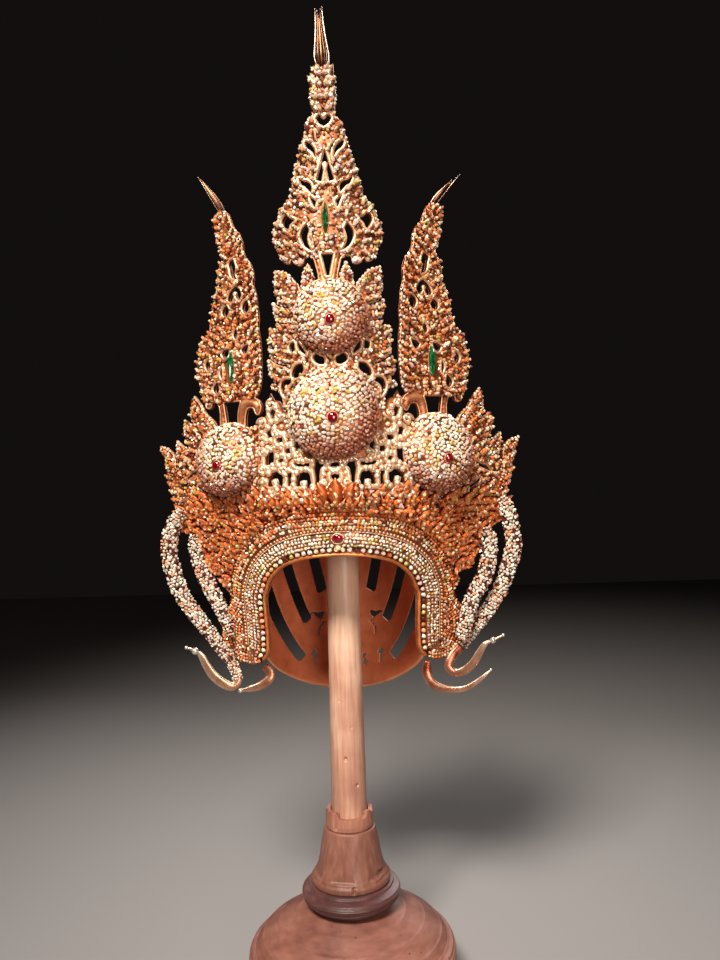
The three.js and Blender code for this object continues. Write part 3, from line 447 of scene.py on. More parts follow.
def spaced(candidates, gap, taken=None):
    """The indices of the candidates that lie at least a gap from those kept before them."""
    cells = {} if taken is None else taken
    kept = []
    for i, (x, z) in enumerate(candidates.tolist()):
        column, row = int(x // gap), int(z // gap)
        near = [spot for right, up in AROUND_CELL for spot in cells.get((column + right, row + up), ())]
        if all((x - near_x) ** 2 + (z - near_z) ** 2 >= gap * gap for near_x, near_z in near):
            cells.setdefault((column, row), []).append((x, z))
            kept.append(i)
    return np.array(kept, int)


MOST_ROWS = 20
TIGHT = 0.93          # least distance between two stones, as a share of the pitch


def stone_rows(outline, first, pitch):
    """Flat places for stones in rows that follow the plate's edges inward."""
    kept, cells = [], {}
    for row in range(MOST_ROWS):
        reach = first + row * pitch
        line = np.concatenate([loop + inward * reach for loop, inward in zip(outline.fine, outline.inward)])
        line = line[np.abs(outline.depth(line) - reach) < 0.18]
        if not len(line):
            break
        kept.append(line[spaced(line, pitch * TIGHT, cells)])
    spare = outline.hex_points(pitch * 0.45, first * 0.9)
    kept.append(spare[spaced(spare, pitch * TIGHT, cells)])
    return np.concatenate(kept)


# ---------------------------------------------------------------- leaves, beads and scrolls on the plates

# Along a leaf, from its root to its point: half-width and height, as shares of the leaf's own.
LEAF_ROWS = (
    (0.0, 0.5, 0.45), (0.16, 0.88, 0.8), (0.36, 1.0, 1.0),
    (0.58, 0.84, 1.0), (0.8, 0.46, 0.86), (1.0, 0.05, 0.6),
)
# Round a leaf's section: place across and height.
LEAF_SECTION = ((-1.0, -0.25), (-0.6, 0.66), (0.0, 1.0), (0.6, 0.66), (1.0, -0.25), (0.0, -0.5))
# The stones on a leaf: along, across and radius, as shares of the length and half-width.
LEAF_STONES = ((0.14, 0.1, 0.68), (0.44, -0.1, 0.78), (0.74, 0.0, 0.56))


ROUGH = dict(tilt=0.32, uneven=0.3)   # how much neighbouring stones differ where they're worn


def mixed_shades(dull, count):
    """Full colour for most stones, and up to the given amount less for some."""
    return 1 - dull * rng.uniform(0, 1, count) ** 2


def add_leaves(shape, roots, along, lengths, widths, heights, base, curl, slot=0, stones=LEAF_STONES,
               stone_slot=1, shade=(0.0, 0.6), dull=0.85):
    """Domed pointed leaves on the front surface, from flat roots in flat directions. Base is their height
    above it, curl lifts their points, and dull is how far from full colour their dullest stones are."""
    count = len(roots)
    lengths, widths, heights, base = (np.broadcast_to(v, count) for v in (lengths, widths, heights, base))
    across = np.stack([along[:, 1], -along[:, 0]], axis=1)
    rows, section = np.array(LEAF_ROWS), np.array(LEAF_SECTION)
    flat = (roots[:, None, None] + along[:, None, None] * (lengths[:, None] * rows[:, 0])[:, :, None, None]
            + across[:, None, None] * (widths[:, None, None] * rows[:, 1, None] * section[:, 0])[..., None])
    lift = curl * rows[:, 0, None] ** 2
    outward = base[:, None, None] + lift + heights[:, None, None] * rows[:, 2, None] * section[:, 1]
    points = on_front(flat.reshape(-1, 2), outward.reshape(-1))
    ring = len(section)
    first = (np.arange(count) * ring * len(rows))[:, None, None]
    quads = (grid_faces(len(rows), ring)[None, :, ::-1] + first).reshape(-1, 4)
    ends = (end_faces(len(rows), ring)[None, :, ::-1] + first).reshape(-1, ring)
    low, high = shade
    # painted light: each leaf is dark on its sides and pale along its crest
    painted_crest_light = np.tile(low + (high - low) * np.clip(section[:, 1], 0, 1) ** 2, (count, len(rows), 1))
    shape.add(points, [quads, ends], slot, True, painted_crest_light.reshape(-1))
    for place, beside, size in stones:
        row = np.interp(place, rows[:, 0], rows[:, 1]), np.interp(place, rows[:, 0], rows[:, 2])
        spot = roots + along * (lengths * place)[:, None] + across * (widths * row[0] * beside)[:, None]
        lift = base + curl * place ** 2 + heights * row[1] * (1 - 0.34 * abs(beside) / 0.6) + 0.1
        lean = across * (beside * 0.5) + along * ((place - 0.4) * 0.35)
        normals = front_normal(spot)
        side = unit(np.cross([0.0, 0.0, 1.0], normals))
        normals = unit(normals + side * lean[:, :1] + np.array([0, 0, 1.0]) * lean[:, 1:])
        radii = widths * size * rng.uniform(0.88, 1.1, count)
        shades = mixed_shades(dull, count)
        add_stones(shape, on_front(spot, lift), normals, radii, 6, stone_slot, shade=shades, **ROUGH)


UPWARD = 1.1                  # how strongly leaves turn up
EDGE_PULL = 1.1               # how strongly they turn out over an edge, or away from a hole
PULL_FROM, PULL_OVER = 7.5, 5   # the pull starts at this depth and is full this much nearer the edge


def leaf_directions(outline, spots, axis_x, spread):
    """Leaves point up and away from the plate's axis, out over its outer edge, and never into a hole."""
    share = np.clip((spots[:, 0] - axis_x) / spread, -1, 1)
    along = np.stack([share, np.full(len(spots), UPWARD)], axis=1)
    index, _ = nearest(outline.tree, spots)
    inward = outline.sample_inward[index]
    outer = index < len(outline.fine[0])
    depth = outline.depth(spots)
    weight = np.clip((PULL_FROM - depth) / PULL_OVER, 0, 1)[:, None]
    along = along + np.where(outer[:, None], -inward * EDGE_PULL, inward * EDGE_PULL) * weight
    return unit(along + rng.normal(0, 0.3, along.shape))


def outside_gem(flat, node, clear):
    """Which flat points lie clear of a gem's oval."""
    low, high = box(node)
    away = (flat - (low + high)[[0, 2]] / 2) / ((high - low)[[0, 2]] / 2 + clear)
    return np.hypot(*away.T) > 1


def add_paving(shape, places, lift, radius, slot, dull):
    """Stones of mixed size and brightness at mixed heights and slants."""
    count = len(places)
    sizes = radius * rng.uniform(0.75, 1.2, count)
    centres = on_front(places, lift + rng.uniform(0, 1.0, count))
    shades = mixed_shades(dull, count)
    add_stones(shape, centres, front_normal(places), sizes, 6, slot, shade=shades, **ROUGH)


BED_FIRST, BED_PITCH = 2.3, 3.3   # the stones' first row lies this far inside the edge, and their spacing
LEAVES_FIRST = 3.4                # the leaves' first row lies this far inside the edge
ROOT_DEPTH = 1.2                  # a leaf's root lies at least this far inside the edge
MOST_OVER = 0.9                   # and its point may stand this far outside it


def add_leaf_cover(shape, outline, axis_x, spread, length, width, height, gap, above, gem):
    """Covers a plate above the given height with small stones, and with leaves on them. Both leave its
    coloured stone free."""
    def places(first, pitch, clear):
        spots = stone_rows(outline, first, pitch)
        spots = spots[spots[:, 1] > above]
        return spots[outside_gem(spots, gem, clear)] if gem else spots

    bed = places(BED_FIRST, BED_PITCH, 1.6)
    rows = places(LEAVES_FIRST, gap, 5.5)
    add_paving(shape, bed, 0.7, 1.8, 1, 0.95)
    along = leaf_directions(outline, rows, axis_x, spread)
    scale = rng.uniform(0.85, 1.15, len(rows)) * np.clip(0.72 + outline.depth(rows) * 0.05, 0.7, 1.05)
    roots = rows - along * (length * scale * 0.42)[:, None]
    roots += along * np.clip(ROOT_DEPTH - outline.depth(roots), 0, 4)[:, None]
    over = -outline.depth(roots + along * (length * scale)[:, None])
    roots -= along * np.clip(over - MOST_OVER, 0, 4)[:, None]
    base = rng.uniform(0.6, 2.0, len(rows))
    add_leaves(shape, roots, along, length * scale, width * scale, height * scale, base, 1.2)


def add_edge_stones(shape, outline, radius, pitch, above, slot):
    """A row of stones that stands on the plate's outer edge and breaks up its line."""
    loop, inward = outline.fine[0], outline.inward[0]
    kept = spaced(loop, pitch)
    places = loop[kept] + inward[kept] * 0.6
    places = places[places[:, 1] > above]
    sizes = radius * rng.uniform(0.75, 1.15, len(places))
    centres = on_front(places, rng.uniform(0.2, 1.2, len(places)))
    add_stones(shape, centres, front_normal(places), sizes, 6, slot, tilt=0.35,
               shade=rng.uniform(0.6, 1, len(places)))


SCROLL_LIFT = 1.6         # height of the wires over the front surface
SCROLL_RUNS = ((0.04, 0.45), (0.55, 0.96))   # the two wires, as shares of the way round a hole


def add_scrolls(shape, outline, which, radius, slot):
    """Two curling wires round each hole, each with a ball at both ends."""
    for i in which:
        line = outline.fine[i] + outline.inward[i] * radius * 0.85
        line = np.roll(line, -int(line[:, 1].argmin()), axis=0)
        for first, last in SCROLL_RUNS:
            run = line[int(first * len(line)):int(last * len(line)):3]
            if len(run) < 4:
                continue
            thick = radius * (0.7 + 0.3 * np.sin(np.linspace(0, math.pi, len(run))))
            add_tube(shape, on_front(run, SCROLL_LIFT), front_normal(run), thick, 8, False, slot, 0.85, 1.1)
            add_balls(shape, on_front(run[[0, -1]], SCROLL_LIFT + 0.8), radius * 1.2, slot, 1.1, 6, 10)


def add_scroll_ends(shape, outline, which, radius, slot, outward=0.6):
    """Balls where the metal comes to a point inside a hole, as the curled ends of scrolls."""
    for i in which:
        loop = outline.loops[i]
        before, after = edge_directions(loop)
        leftward = before[:, 0] * after[:, 1] - before[:, 1] * after[:, 0] > 0
        tips = leftward & (turning(loop) > math.radians(50))
        if tips.any():
            spots = loop[tips] + unit(after - before)[tips] * radius * 0.7
            add_balls(shape, on_front(spots, outward), radius, slot, 1.0, 8, 12)


# ---------------------------------------------------------------- materials

class Look:
    """A material, with short ways to add nodes. What gives a value or a colour returns that output."""

    def __init__(self, name):
        self.material = bpy.data.materials.new(name)
        self.material.use_nodes = True
        self.nodes = self.material.node_tree.nodes
        self.links = self.material.node_tree.links
        self.shader = self.nodes["Principled BSDF"]

    def noise(self, scale, detail, stretch=None):
        """Noise over the object's own coordinates. Stretch scales each axis."""
        vector = self.nodes.new("ShaderNodeTexCoord").outputs["Object"]
        if stretch:
            mapping = self.nodes.new("ShaderNodeMapping")
            mapping.inputs["Scale"].default_value = stretch
            self.links.new(vector, mapping.inputs["Vector"])
            vector = mapping.outputs["Vector"]
        texture = self.nodes.new("ShaderNodeTexNoise")
        texture.inputs["Scale"].default_value = scale
        texture.inputs["Detail"].default_value = detail
        self.links.new(vector, texture.inputs["Vector"])
        return texture.outputs["Fac"]

    def shade(self):
        """The shade that the mesh carries."""
        node = self.nodes.new("ShaderNodeAttribute")
        node.attribute_name = "shade"
        return node.outputs["Fac"]

    def scaled(self, value, factor, plus):
        """value * factor + plus, where plus is a number or another output."""
        node = self.nodes.new("ShaderNodeMath")
        node.operation = "MULTIPLY_ADD"
        self.links.new(value, node.inputs[0])
        node.inputs[1].default_value = factor
        if isinstance(plus, float):
            node.inputs[2].default_value = plus
        else:
            self.links.new(plus, node.inputs[2])
        return node.outputs["Value"]

    def ramp(self, value, stops, interpolation="LINEAR"):
        """The value's colour on a ramp. Stops are (position, (r, g, b))."""
        node = self.nodes.new("ShaderNodeValToRGB")
        node.color_ramp.interpolation = interpolation
        elements = node.color_ramp.elements
        while len(elements) < len(stops):
            elements.new(0.5)
        for element, (position, colour) in zip(elements, stops):
            element.position = position
            element.color = (*colour, 1)
        self.links.new(value, node.inputs["Fac"])
        return node.outputs["Color"]

    def blend(self, share, plain, colour):
        """A plain colour where share is 0, and another output's colour where it is 1."""
        node = self.nodes.new("ShaderNodeMix")
        node.data_type = "RGBA"
        node.inputs["A"].default_value = (*plain, 1)
        self.links.new(share, node.inputs["Factor"])
        self.links.new(colour, node.inputs["B"])
        return node.outputs["Result"]

    def bump(self, height, strength, distance):
        node = self.nodes.new("ShaderNodeBump")
        node.inputs["Strength"].default_value = strength
        node.inputs["Distance"].default_value = distance
        self.links.new(height, node.inputs["Height"])
        self.links.new(node.outputs["Normal"], self.shader.inputs["Normal"])

    def finish(self, colour):
        self.links.new(colour, self.shader.inputs["Base Color"])
        return self.material


def gilt(name, deep, middle, pale, roughness, metallic=0.6):
    """Gilded metal with painted shade that makes it deep in the hollows and a painted highlight that makes
    it pale on what stands out, with uneven patches and fine pits.
    """
    look = Look(name)
    look.shader.inputs["Metallic"].default_value = metallic
    patches = look.noise(90, 4)
    # painted shade and highlight: the mesh's shade moves the colour from deep to pale
    tone = look.scaled(look.scaled(patches, 0.9, look.shade()), 0.75, -0.28)
    gloss = look.scaled(patches, 0.24, roughness - 0.1)
    look.links.new(gloss, look.shader.inputs["Roughness"])
    look.bump(look.noise(700, 2), 0.25, 0.0004)
    return look.finish(look.ramp(tone, [(0.0, deep), (0.5, middle), (1.0, pale)]))


# colour of dull stones, and of painted shadow on stones
DULL_AND_SHADED_STONE = (0.36, 0.09, 0.04)


def cut_stone(name, stops, metallic=0.0):
    """Foil-backed cut glass. Each stone takes its own colour from the ramp, blended towards a dull brown as
    its shade falls to 0. That low shade is partly painted shadow, on the domes and towards the ears, and
    partly a random dullness of single stones.
    """
    look = Look(name)
    look.shader.inputs["Metallic"].default_value = metallic
    look.shader.inputs["Roughness"].default_value = 0.3
    look.shader.inputs["Coat Weight"].default_value = 0.6
    look.shader.inputs["Coat Roughness"].default_value = 0.03
    stone = look.nodes.new("ShaderNodeNewGeometry").outputs["Random Per Island"]
    return look.finish(look.blend(look.shade(), DULL_AND_SHADED_STONE, look.ramp(stone, stops, "CONSTANT")))


def gem(name, deep, bright):
    """A polished coloured stone with brighter cloudy patches."""
    look = Look(name)
    look.shader.inputs["Roughness"].default_value = 0.05
    look.shader.inputs["IOR"].default_value = 1.7
    look.shader.inputs["Coat Weight"].default_value = 1.0
    look.shader.inputs["Coat Roughness"].default_value = 0.02
    return look.finish(look.ramp(look.noise(300, 2), [(0.35, deep), (0.75, bright)]))


GOLD = gilt("gilt_leaf", (0.09, 0.015, 0.006), (0.6, 0.2, 0.075), (1.0, 0.55, 0.3), 0.4)
PALE_GOLD = gilt("gilt_scroll", (0.4, 0.12, 0.05), (0.9, 0.46, 0.24), (1.0, 0.82, 0.58), 0.34)
ORANGE_GOLD = gilt("gilt_orange", (0.1, 0.01, 0.003), (0.6, 0.11, 0.022), (1.0, 0.42, 0.13), 0.42)
CREAM = (1.0, 0.8, 0.48)
IVORY = (1.0, 0.92, 0.74)
PEACH = (0.95, 0.45, 0.22)
PINK = (0.96, 0.6, 0.5)
OLIVE = (0.6, 0.48, 0.1)
TAWNY = (0.75, 0.2, 0.05)
FLAME = (0.95, 0.24, 0.04)
BROWN = (0.12, 0.02, 0.01)
CLEAR = cut_stone("clear_stones", [
    (0.0, CREAM), (0.28, IVORY), (0.45, PEACH), (0.62, PINK), (0.76, OLIVE), (0.84, TAWNY), (0.94, BROWN),
])
BRIGHT = cut_stone("disc_stones", [
    (0.0, IVORY), (0.5, CREAM), (0.74, PINK), (0.85, OLIVE), (0.91, PEACH), (0.97, BROWN),
])
AMBER = cut_stone("leaf_stones", [
    (0.0, PEACH), (0.28, CREAM), (0.52, TAWNY), (0.7, FLAME), (0.8, OLIVE), (0.86, IVORY), (0.92, BROWN),
])
EMBER = cut_stone("diadem_stones", [
    (0.0, TAWNY), (0.3, PEACH), (0.56, CREAM), (0.68, FLAME), (0.86, OLIVE), (0.92, BROWN),
])
RUBY = gem("ruby", (0.1, 0.0, 0.003), (0.4, 0.002, 0.01))
EMERALD = gem("emerald", (0.0, 0.05, 0.012), (0.005, 0.2, 0.05))

# ---------------------------------------------------------------- the pierced plates

GEMS = {"spire_center": "emerald_center", "spire_right": "emerald_right", "spire_left": "emerald_left"}
# Per plate: radius of the rims round the holes and of the scroll ends, the x of the axis its leaves lean
# from, the distance over which they turn, the leaves' length, half-width, height and spacing, and the
# height below which the plate is plain smooth stems.
PLATES = {
    "spire_center": (1.7, 2.4, -1.5, 34, 9.5, 3.1, 2.6, 8.2, 684),
    "spire_right": (1.4, 2.0, 92, 26, 9.0, 2.9, 2.5, 7.6, 571),
    "spire_left": (1.4, 2.0, -92, 26, 9.0, 2.9, 2.5, 7.6, 571),
    "upper_leaf_plate": (1.6, 2.3, 0, 40, 9.5, 3.0, 2.6, 8.6, 0),
    "side_leaf_plate_right": (1.3, 2.0, 70, 40, 9.6, 3.0, 2.8, 8.2, 0),
    "side_leaf_plate_left": (1.3, 2.0, -70, 40, 9.6, 3.0, 2.8, 8.2, 0),
}
PALE_PLATES = ("spire_center", "upper_leaf_plate")
SHEET = 2.0               # a plate's thickness
STEM_EDGE = 7.0           # distance over which a stem rounds up from its edge


def stem_swell(above):
    """Rounded smooth stems below the given height, and a low bed for leaves over the rest. Painted shade
    darkens the edges and the bed under the leaves.
    """
    def profile(flat, depth):
        stem = np.clip((above - flat[:, 1]) / 4, 0, 1)
        swell = np.sin(np.minimum(depth / STEM_EDGE, 1) * math.pi / 2)
        # painted shade: dark at the edges and on the leaves' bed, paler up the stems
        return swell * (0.7 + 4.2 * stem), 0.05 + (0.3 + 0.6 * stem) * swell
    return profile


NECK_TIERS = ((804, 5.2), (814.5, 5.6), (825, 5.2), (834, 3.6))     # height of the roots, half-width
NECK_FAN = np.array([-0.9, 0.9, -0.35, 0.4])                        # how each leaf of a tier leans
NECK_STONES = ((0.22, 0.1, 0.6), (0.6, -0.1, 0.5))


def add_neck_tiers(shape, axis_x):
    """Tiers of broad pale leaves that fan out round the neck under the middle tip."""
    count = len(NECK_FAN)
    for level, reach in NECK_TIERS:
        fan = NECK_FAN + rng.uniform(-0.15, 0.15, count)
        roots = np.stack([axis_x + fan * reach, level + 2 * np.abs(fan)], axis=1)
        along = unit(np.stack([fan * 0.8, np.ones(count)], axis=1))
        size = rng.uniform(0.85, 1.15, count)
        base = 3.2 - 1.6 * np.abs(fan)
        add_leaves(shape, roots, along, 9.5 * size, 3.9 * size, 2.8, base, 1.5, slot=2,
                   stones=NECK_STONES, stone_slot=3, shade=(-0.2, 0.7), dull=0.5)


STEMS_REACH = 16     # the middle spire's stems stand within this distance of the middle plane


def add_scallops(shape, outline, above):
    """Large pale stones on the scallops under the middle spire's lobes."""
    spots = stone_rows(outline, 2.4, 3.8)
    spots = spots[(spots[:, 1] < above) & (np.abs(spots[:, 0]) > STEMS_REACH)]
    lift, _ = stem_swell(above)(spots, outline.depth(spots))
    add_paving(shape, spots, lift - 0.4, 2.5, 3, 0.2)


def build_plate(name, hole_rim, ball, axis_x, spread, length, width, height, gap, above):
    """A pierced plate with leaves and stones, whose holes are edged with wires and scroll ends."""
    outline = Outline(name)
    plate = Shape()
    holes = range(1, len(outline.loops))
    add_plate(plate, outline, SHEET, stem_swell(above))
    add_rim(plate, outline, 0.8, [0], 0.6, 0, 1.0)
    add_rim(plate, outline, hole_rim, holes, 1.2, 2, 0.7)
    add_scroll_ends(plate, outline, holes, ball, 2)
    add_leaf_cover(plate, outline, axis_x, spread, length, width, height, gap, above, GEMS.get(name))
    add_edge_stones(plate, outline, 1.9, 3.7, above, 3)
    if name == "spire_center":
        add_neck_tiers(plate, axis_x)
        add_scallops(plate, outline, above)
    stones, edging = (CLEAR, BRIGHT) if name in PALE_PLATES else (AMBER, CLEAR)
    plate.build(f"{name}_paved", [GOLD, stones, PALE_GOLD, edging], [name])


for name, measures in PLATES.items():
    build_plate(name, *measures)


CURL_LIFT = 2.4               # height of the wires over the front surface
CURL_PITCH, BEAD_PITCH = 13.0, 5.2
CURL_REACH, CURL_RADIUS = 5.0, 1.5
CURL_TURN = 2.3 * math.pi


def add_curls(shape, spots, reach, radius, slot):
    """Wires that curl up round each spot and end in a ball, mirrored about the middle plane."""
    share = np.linspace(0, 1, 15)
    for i, (x, z) in enumerate(spots[spots[:, 0] > 2]):
        turn = (i % 4) * math.pi / 2 + (1, -1)[i % 2] * share * CURL_TURN
        curl = reach * (1 - 0.75 * share)
        for side in (1, -1):
            line = np.stack([side * (x + curl * np.cos(turn)), z + curl * np.sin(turn)], axis=1)
            thick = radius * (1 - 0.3 * share)
            path = on_front(line, CURL_LIFT + share)
            add_tube(shape, path, front_normal(line), thick, 8, False, slot, 0.85, 1.1)
            add_balls(shape, on_front(line[-1:], CURL_LIFT + 1.6), radius * 1.25, slot, 1.1, 6, 10)


def build_lattice():
    """Broad curling wires with ball ends over a deep orange sheet, and beads between them."""
    outline = Outline("lattice_plate")
    plate = Shape()
    holes = range(1, len(outline.loops))
    add_plate(plate, outline, SHEET, edge_swell(1.6))
    add_scrolls(plate, outline, holes, 2.4, 2)
    add_scroll_ends(plate, outline, holes, 2.7, 2, 1.6)
    add_curls(plate, stone_rows(outline, 3.8, CURL_PITCH), CURL_REACH, CURL_RADIUS, 2)
    spots = stone_rows(outline, 3.4, BEAD_PITCH)
    beads = rng.uniform(0, 1, len(spots)) < 0.5
    height = rng.uniform(1.8, 3.2, len(spots))
    radii = rng.uniform(1.9, 2.7, beads.sum())
    add_balls(plate, on_front(spots[beads], height[beads]), radii, 2, 1.1, 5, 9)
    add_paving(plate, spots[~beads], 1.8, 2.0, 1, 0.5)
    plate.build("lattice_plate_paved", [GOLD, CLEAR, PALE_GOLD], ["lattice_plate"])


build_lattice()

OPENING_MIDDLE = np.array([0.0, 392.0])   # a point inside the face opening


class FaceEdge:
    """The brow band's edge round the face opening, and distances from it."""

    def __init__(self, outline):
        self.outline = outline
        line, inward = outline.fine[0], outline.inward[0]
        facing = np.sum((line - OPENING_MIDDLE) * inward, axis=1) > 0
        self.line, self.inward = line[facing], inward[facing]
        self.tree = flat_tree(self.line)

    def distance(self, flat):
        return nearest(self.tree, flat)[1]

    def row(self, reach, pitch, clearance=1.4):
        """Places along a line that follows the edge."""
        line = self.line + self.inward * reach
        line = line[np.abs(self.distance(line) - reach) < 0.2]
        line = line[self.outline.depth(line) > clearance]
        return line[spaced(line, pitch)]


# The brow band's section, from the face opening outward: distance, height and painted shade, which is
# darkest in the grooves.
BROW_SECTION = np.array([
    (0.0, 0.2, 0.7), (3.2, 0.6, 0.4), (3.6, -0.3, 0.0), (8.2, -0.3, 0.0), (8.8, 1.0, 0.3), (11.0, 2.0, 0.4),
    (17.0, 2.0, 0.4), (20.0, 1.2, 0.3), (20.5, -0.3, 0.0), (21.3, -0.3, 0.0), (21.8, 1.0, 0.3),
    (60.0, 0.8, 0.1),
])
LARGE_STONES = (6.0, 2.3, 5.6)            # distance from the opening, radius, pitch
PALE_ROWS = (10.2, 13.4, 16.6, 19.2)
RIDGE = 22.8
OUTER_STONES = 25.6
EAR_SHADE_HEIGHTS = (375, 430)                     # over these heights painted shade darkens the stones towards the ears


def brow_height(reach):
    return np.interp(reach, BROW_SECTION[:, 0], BROW_SECTION[:, 1])


def brow_profile(edge):
    """The band's height and shade, which depend only on the distance from the opening."""
    def profile(flat, depth):
        reach = edge.distance(flat)
        return brow_height(reach), np.interp(reach, BROW_SECTION[:, 0], BROW_SECTION[:, 2])
    return profile


def build_brow_band():
    """Rows of beads and stones that follow the face opening. Returns the band's outline."""
    outline = Outline("brow_band")
    edge = FaceEdge(outline)
    band = Shape()
    add_plate(band, outline, 2.6, brow_profile(edge), 1.5)
    along = edge.row(1.7, 0.34, 0.5)
    add_balls(band, on_front(along, 0.6), 1.45, 3, 0.9, 4, 8)
    reach, radius, pitch = LARGE_STONES
    places = edge.row(reach, pitch)
    add_stones(band, on_front(places, 0.7), front_normal(places), radius, 8, height=0.8, uneven=0.1)
    for reach in PALE_ROWS:
        places = edge.row(reach, 3.0)
        places += rng.normal(0, 0.22, places.shape)
        places = places[outside_gem(places, "ruby_brow", 2.2)]
        # painted shade: the pale rows grow darker towards the ears
        dull = np.interp(places[:, 1], EAR_SHADE_HEIGHTS, (0.95, 0.1))
        add_paving(band, places, brow_height(reach) - 0.2, 1.62, 5, dull)
    places = edge.row(RIDGE - 1.0, 0.5)
    add_balls(band, on_front(places, 1.0), 0.75, 2, 0.9, 4, 6)
    places = edge.row(RIDGE + 1.0, 3.1)
    add_balls(band, on_front(places, 1.2), 1.35, 2, 0.6, 4, 8)
    spots = stone_rows(outline, 2.2, 3.2)
    behind, distance = nearest(edge.tree, spots)
    past = np.sum((spots - edge.line[behind]) * edge.inward[behind], axis=1) < 0.97 * distance
    spots = spots[(past & (distance > 4)) | (distance > OUTER_STONES)]
    # painted shade: these stones too grow darker towards the ears
    add_paving(band, spots, 1.0, 1.75, 4, np.interp(spots[:, 1], EAR_SHADE_HEIGHTS, (0.9, 0.4)))
    border = outline.fine[0] + outline.inward[0] * 0.3
    border = border[edge.distance(border) > OUTER_STONES - 2]
    add_paving(band, border[spaced(border, 3.2)], 0.9, 1.95, 4, 0.6)
    materials = [GOLD, CLEAR, PALE_GOLD, ORANGE_GOLD, AMBER, BRIGHT]
    band.build("brow_band_paved", materials, ["brow_band"])
    return outline


CREST_ROWS = ((0.0, 474), (5.2, 480))     # shift along x, and height
CREST_PITCH = 10.5
CREST_STEPS = np.arange(-13, 14)
CREST_REACH = 137
PETALS = dict(stones=((0.14, 0.3, 0.42), (0.42, -0.3, 0.46), (0.72, 0.1, 0.42)), stone_slot=2,
              shade=(-0.1, 1.2), curl=3.0, dull=0.6)


def build_diadem(brow_outline):
    """Deep orange leaves with upturned points over a bed of small stones."""
    outline = Outline("diadem_plate")
    plate = Shape()
    holes = range(1, len(outline.loops))
    add_plate(plate, outline, SHEET, edge_swell(0.6))
    add_rim(plate, outline, 0.9, holes, 0.6, 0, 0.9)
    add_paving(plate, stone_rows(outline, 1.8, 3.2), 0.8, 1.7, 2, 0.6)
    rows = stone_rows(outline, 3.0, 6.0)
    rows = rows[-brow_outline.depth(rows) > 7]
    share = np.clip((np.abs(rows[:, 0]) - 50) / 60, 0, 1)
    outward = np.sign(rows[:, 0]) * (0.2 + 0.8 * share)
    along = unit(np.stack([outward, 1.0 - 0.4 * share], axis=1) + rng.normal(0, 0.6, (len(rows), 2)))
    length = (10.0 + 3.5 * share) * rng.uniform(0.75, 1.25, len(rows))
    width = rng.uniform(3.0, 4.8, len(rows))
    roots = rows - along * (length * 0.45)[:, None]
    roots += along * np.clip(ROOT_DEPTH - outline.depth(roots), 0, 6)[:, None]
    add_leaves(plate, roots, along, length, width, 3.0, rng.uniform(0.2, 2.0, len(rows)), **PETALS)
    for x, low in CREST_ROWS:
        crest_x = CREST_STEPS * CREST_PITCH + x + rng.uniform(-1, 1, len(CREST_STEPS))
        crest_x = crest_x[np.abs(crest_x) < CREST_REACH]
        count = len(crest_x)
        crest = np.stack([crest_x, low + rng.uniform(-2, 2, count)], axis=1)
        lean = crest_x * 0.004 + rng.normal(0, 0.35, count)
        crest_along = unit(np.stack([lean, np.ones(count)], axis=1))
        size = rng.uniform(0.85, 1.25, count)
        lift = rng.uniform(1.5, 3.6, count)
        add_leaves(plate, crest, crest_along, 11 * size, 4.0 * size, 3.2, lift, **PETALS)
    middle = np.array([[-9.0, 478.0], [9.0, 478.0], [0.0, 476.0]])
    middle_along = unit(np.array([[-0.3, 1.0], [0.3, 1.0], [0.0, 1.0]]))
    add_leaves(plate, middle, middle_along, [15, 15, 20], [6, 6, 8], 3.6, 4.2, 3.0,
               stones=((0.3, 0.0, 0.25),), stone_slot=2, shade=(0.2, 0.9))
    plate.build("diadem_plate_paved", [ORANGE_GOLD, CLEAR, EMBER], ["diadem_plate"])


build_diadem(build_brow_band())

# ---------------------------------------------------------------- domed discs

SIDE_TURN = math.radians(10)
# Per disc, as in the frame: x, z, radius, rise, how far the apex is set down, how far its face is turned
# towards the front, its side, its ruby's node and that ruby's half-width. Side -1 is the left, which is
# built as a mirror image.
DISCS = {
    "center_disc": (0, 551, 38, 18, 6, 0, 1, "ruby_center", 4.3),
    "upper_disc": (0, 634, 31, 15, 7.5, 0, 1, "ruby_upper", 4.0),
    "side_disc_right": (86.5, 519, 34, 19, 7.5, SIDE_TURN, 1, "ruby_side_right", 4.0),
    "side_disc_left": (93, 518, 31.5, 19, 7, SIDE_TURN, -1, "ruby_side_left", 4.0),
}
DISC_SEAT = 5.0
PLATE_GAP = 0.35
DISC_STONE = 2.15         # radius
DISC_PITCH = 3.6
DISC_RINGS, DISC_SIDES = 26, 72
RUBY_TALL = 1.12          # height of a disc's ruby, as a share of its width


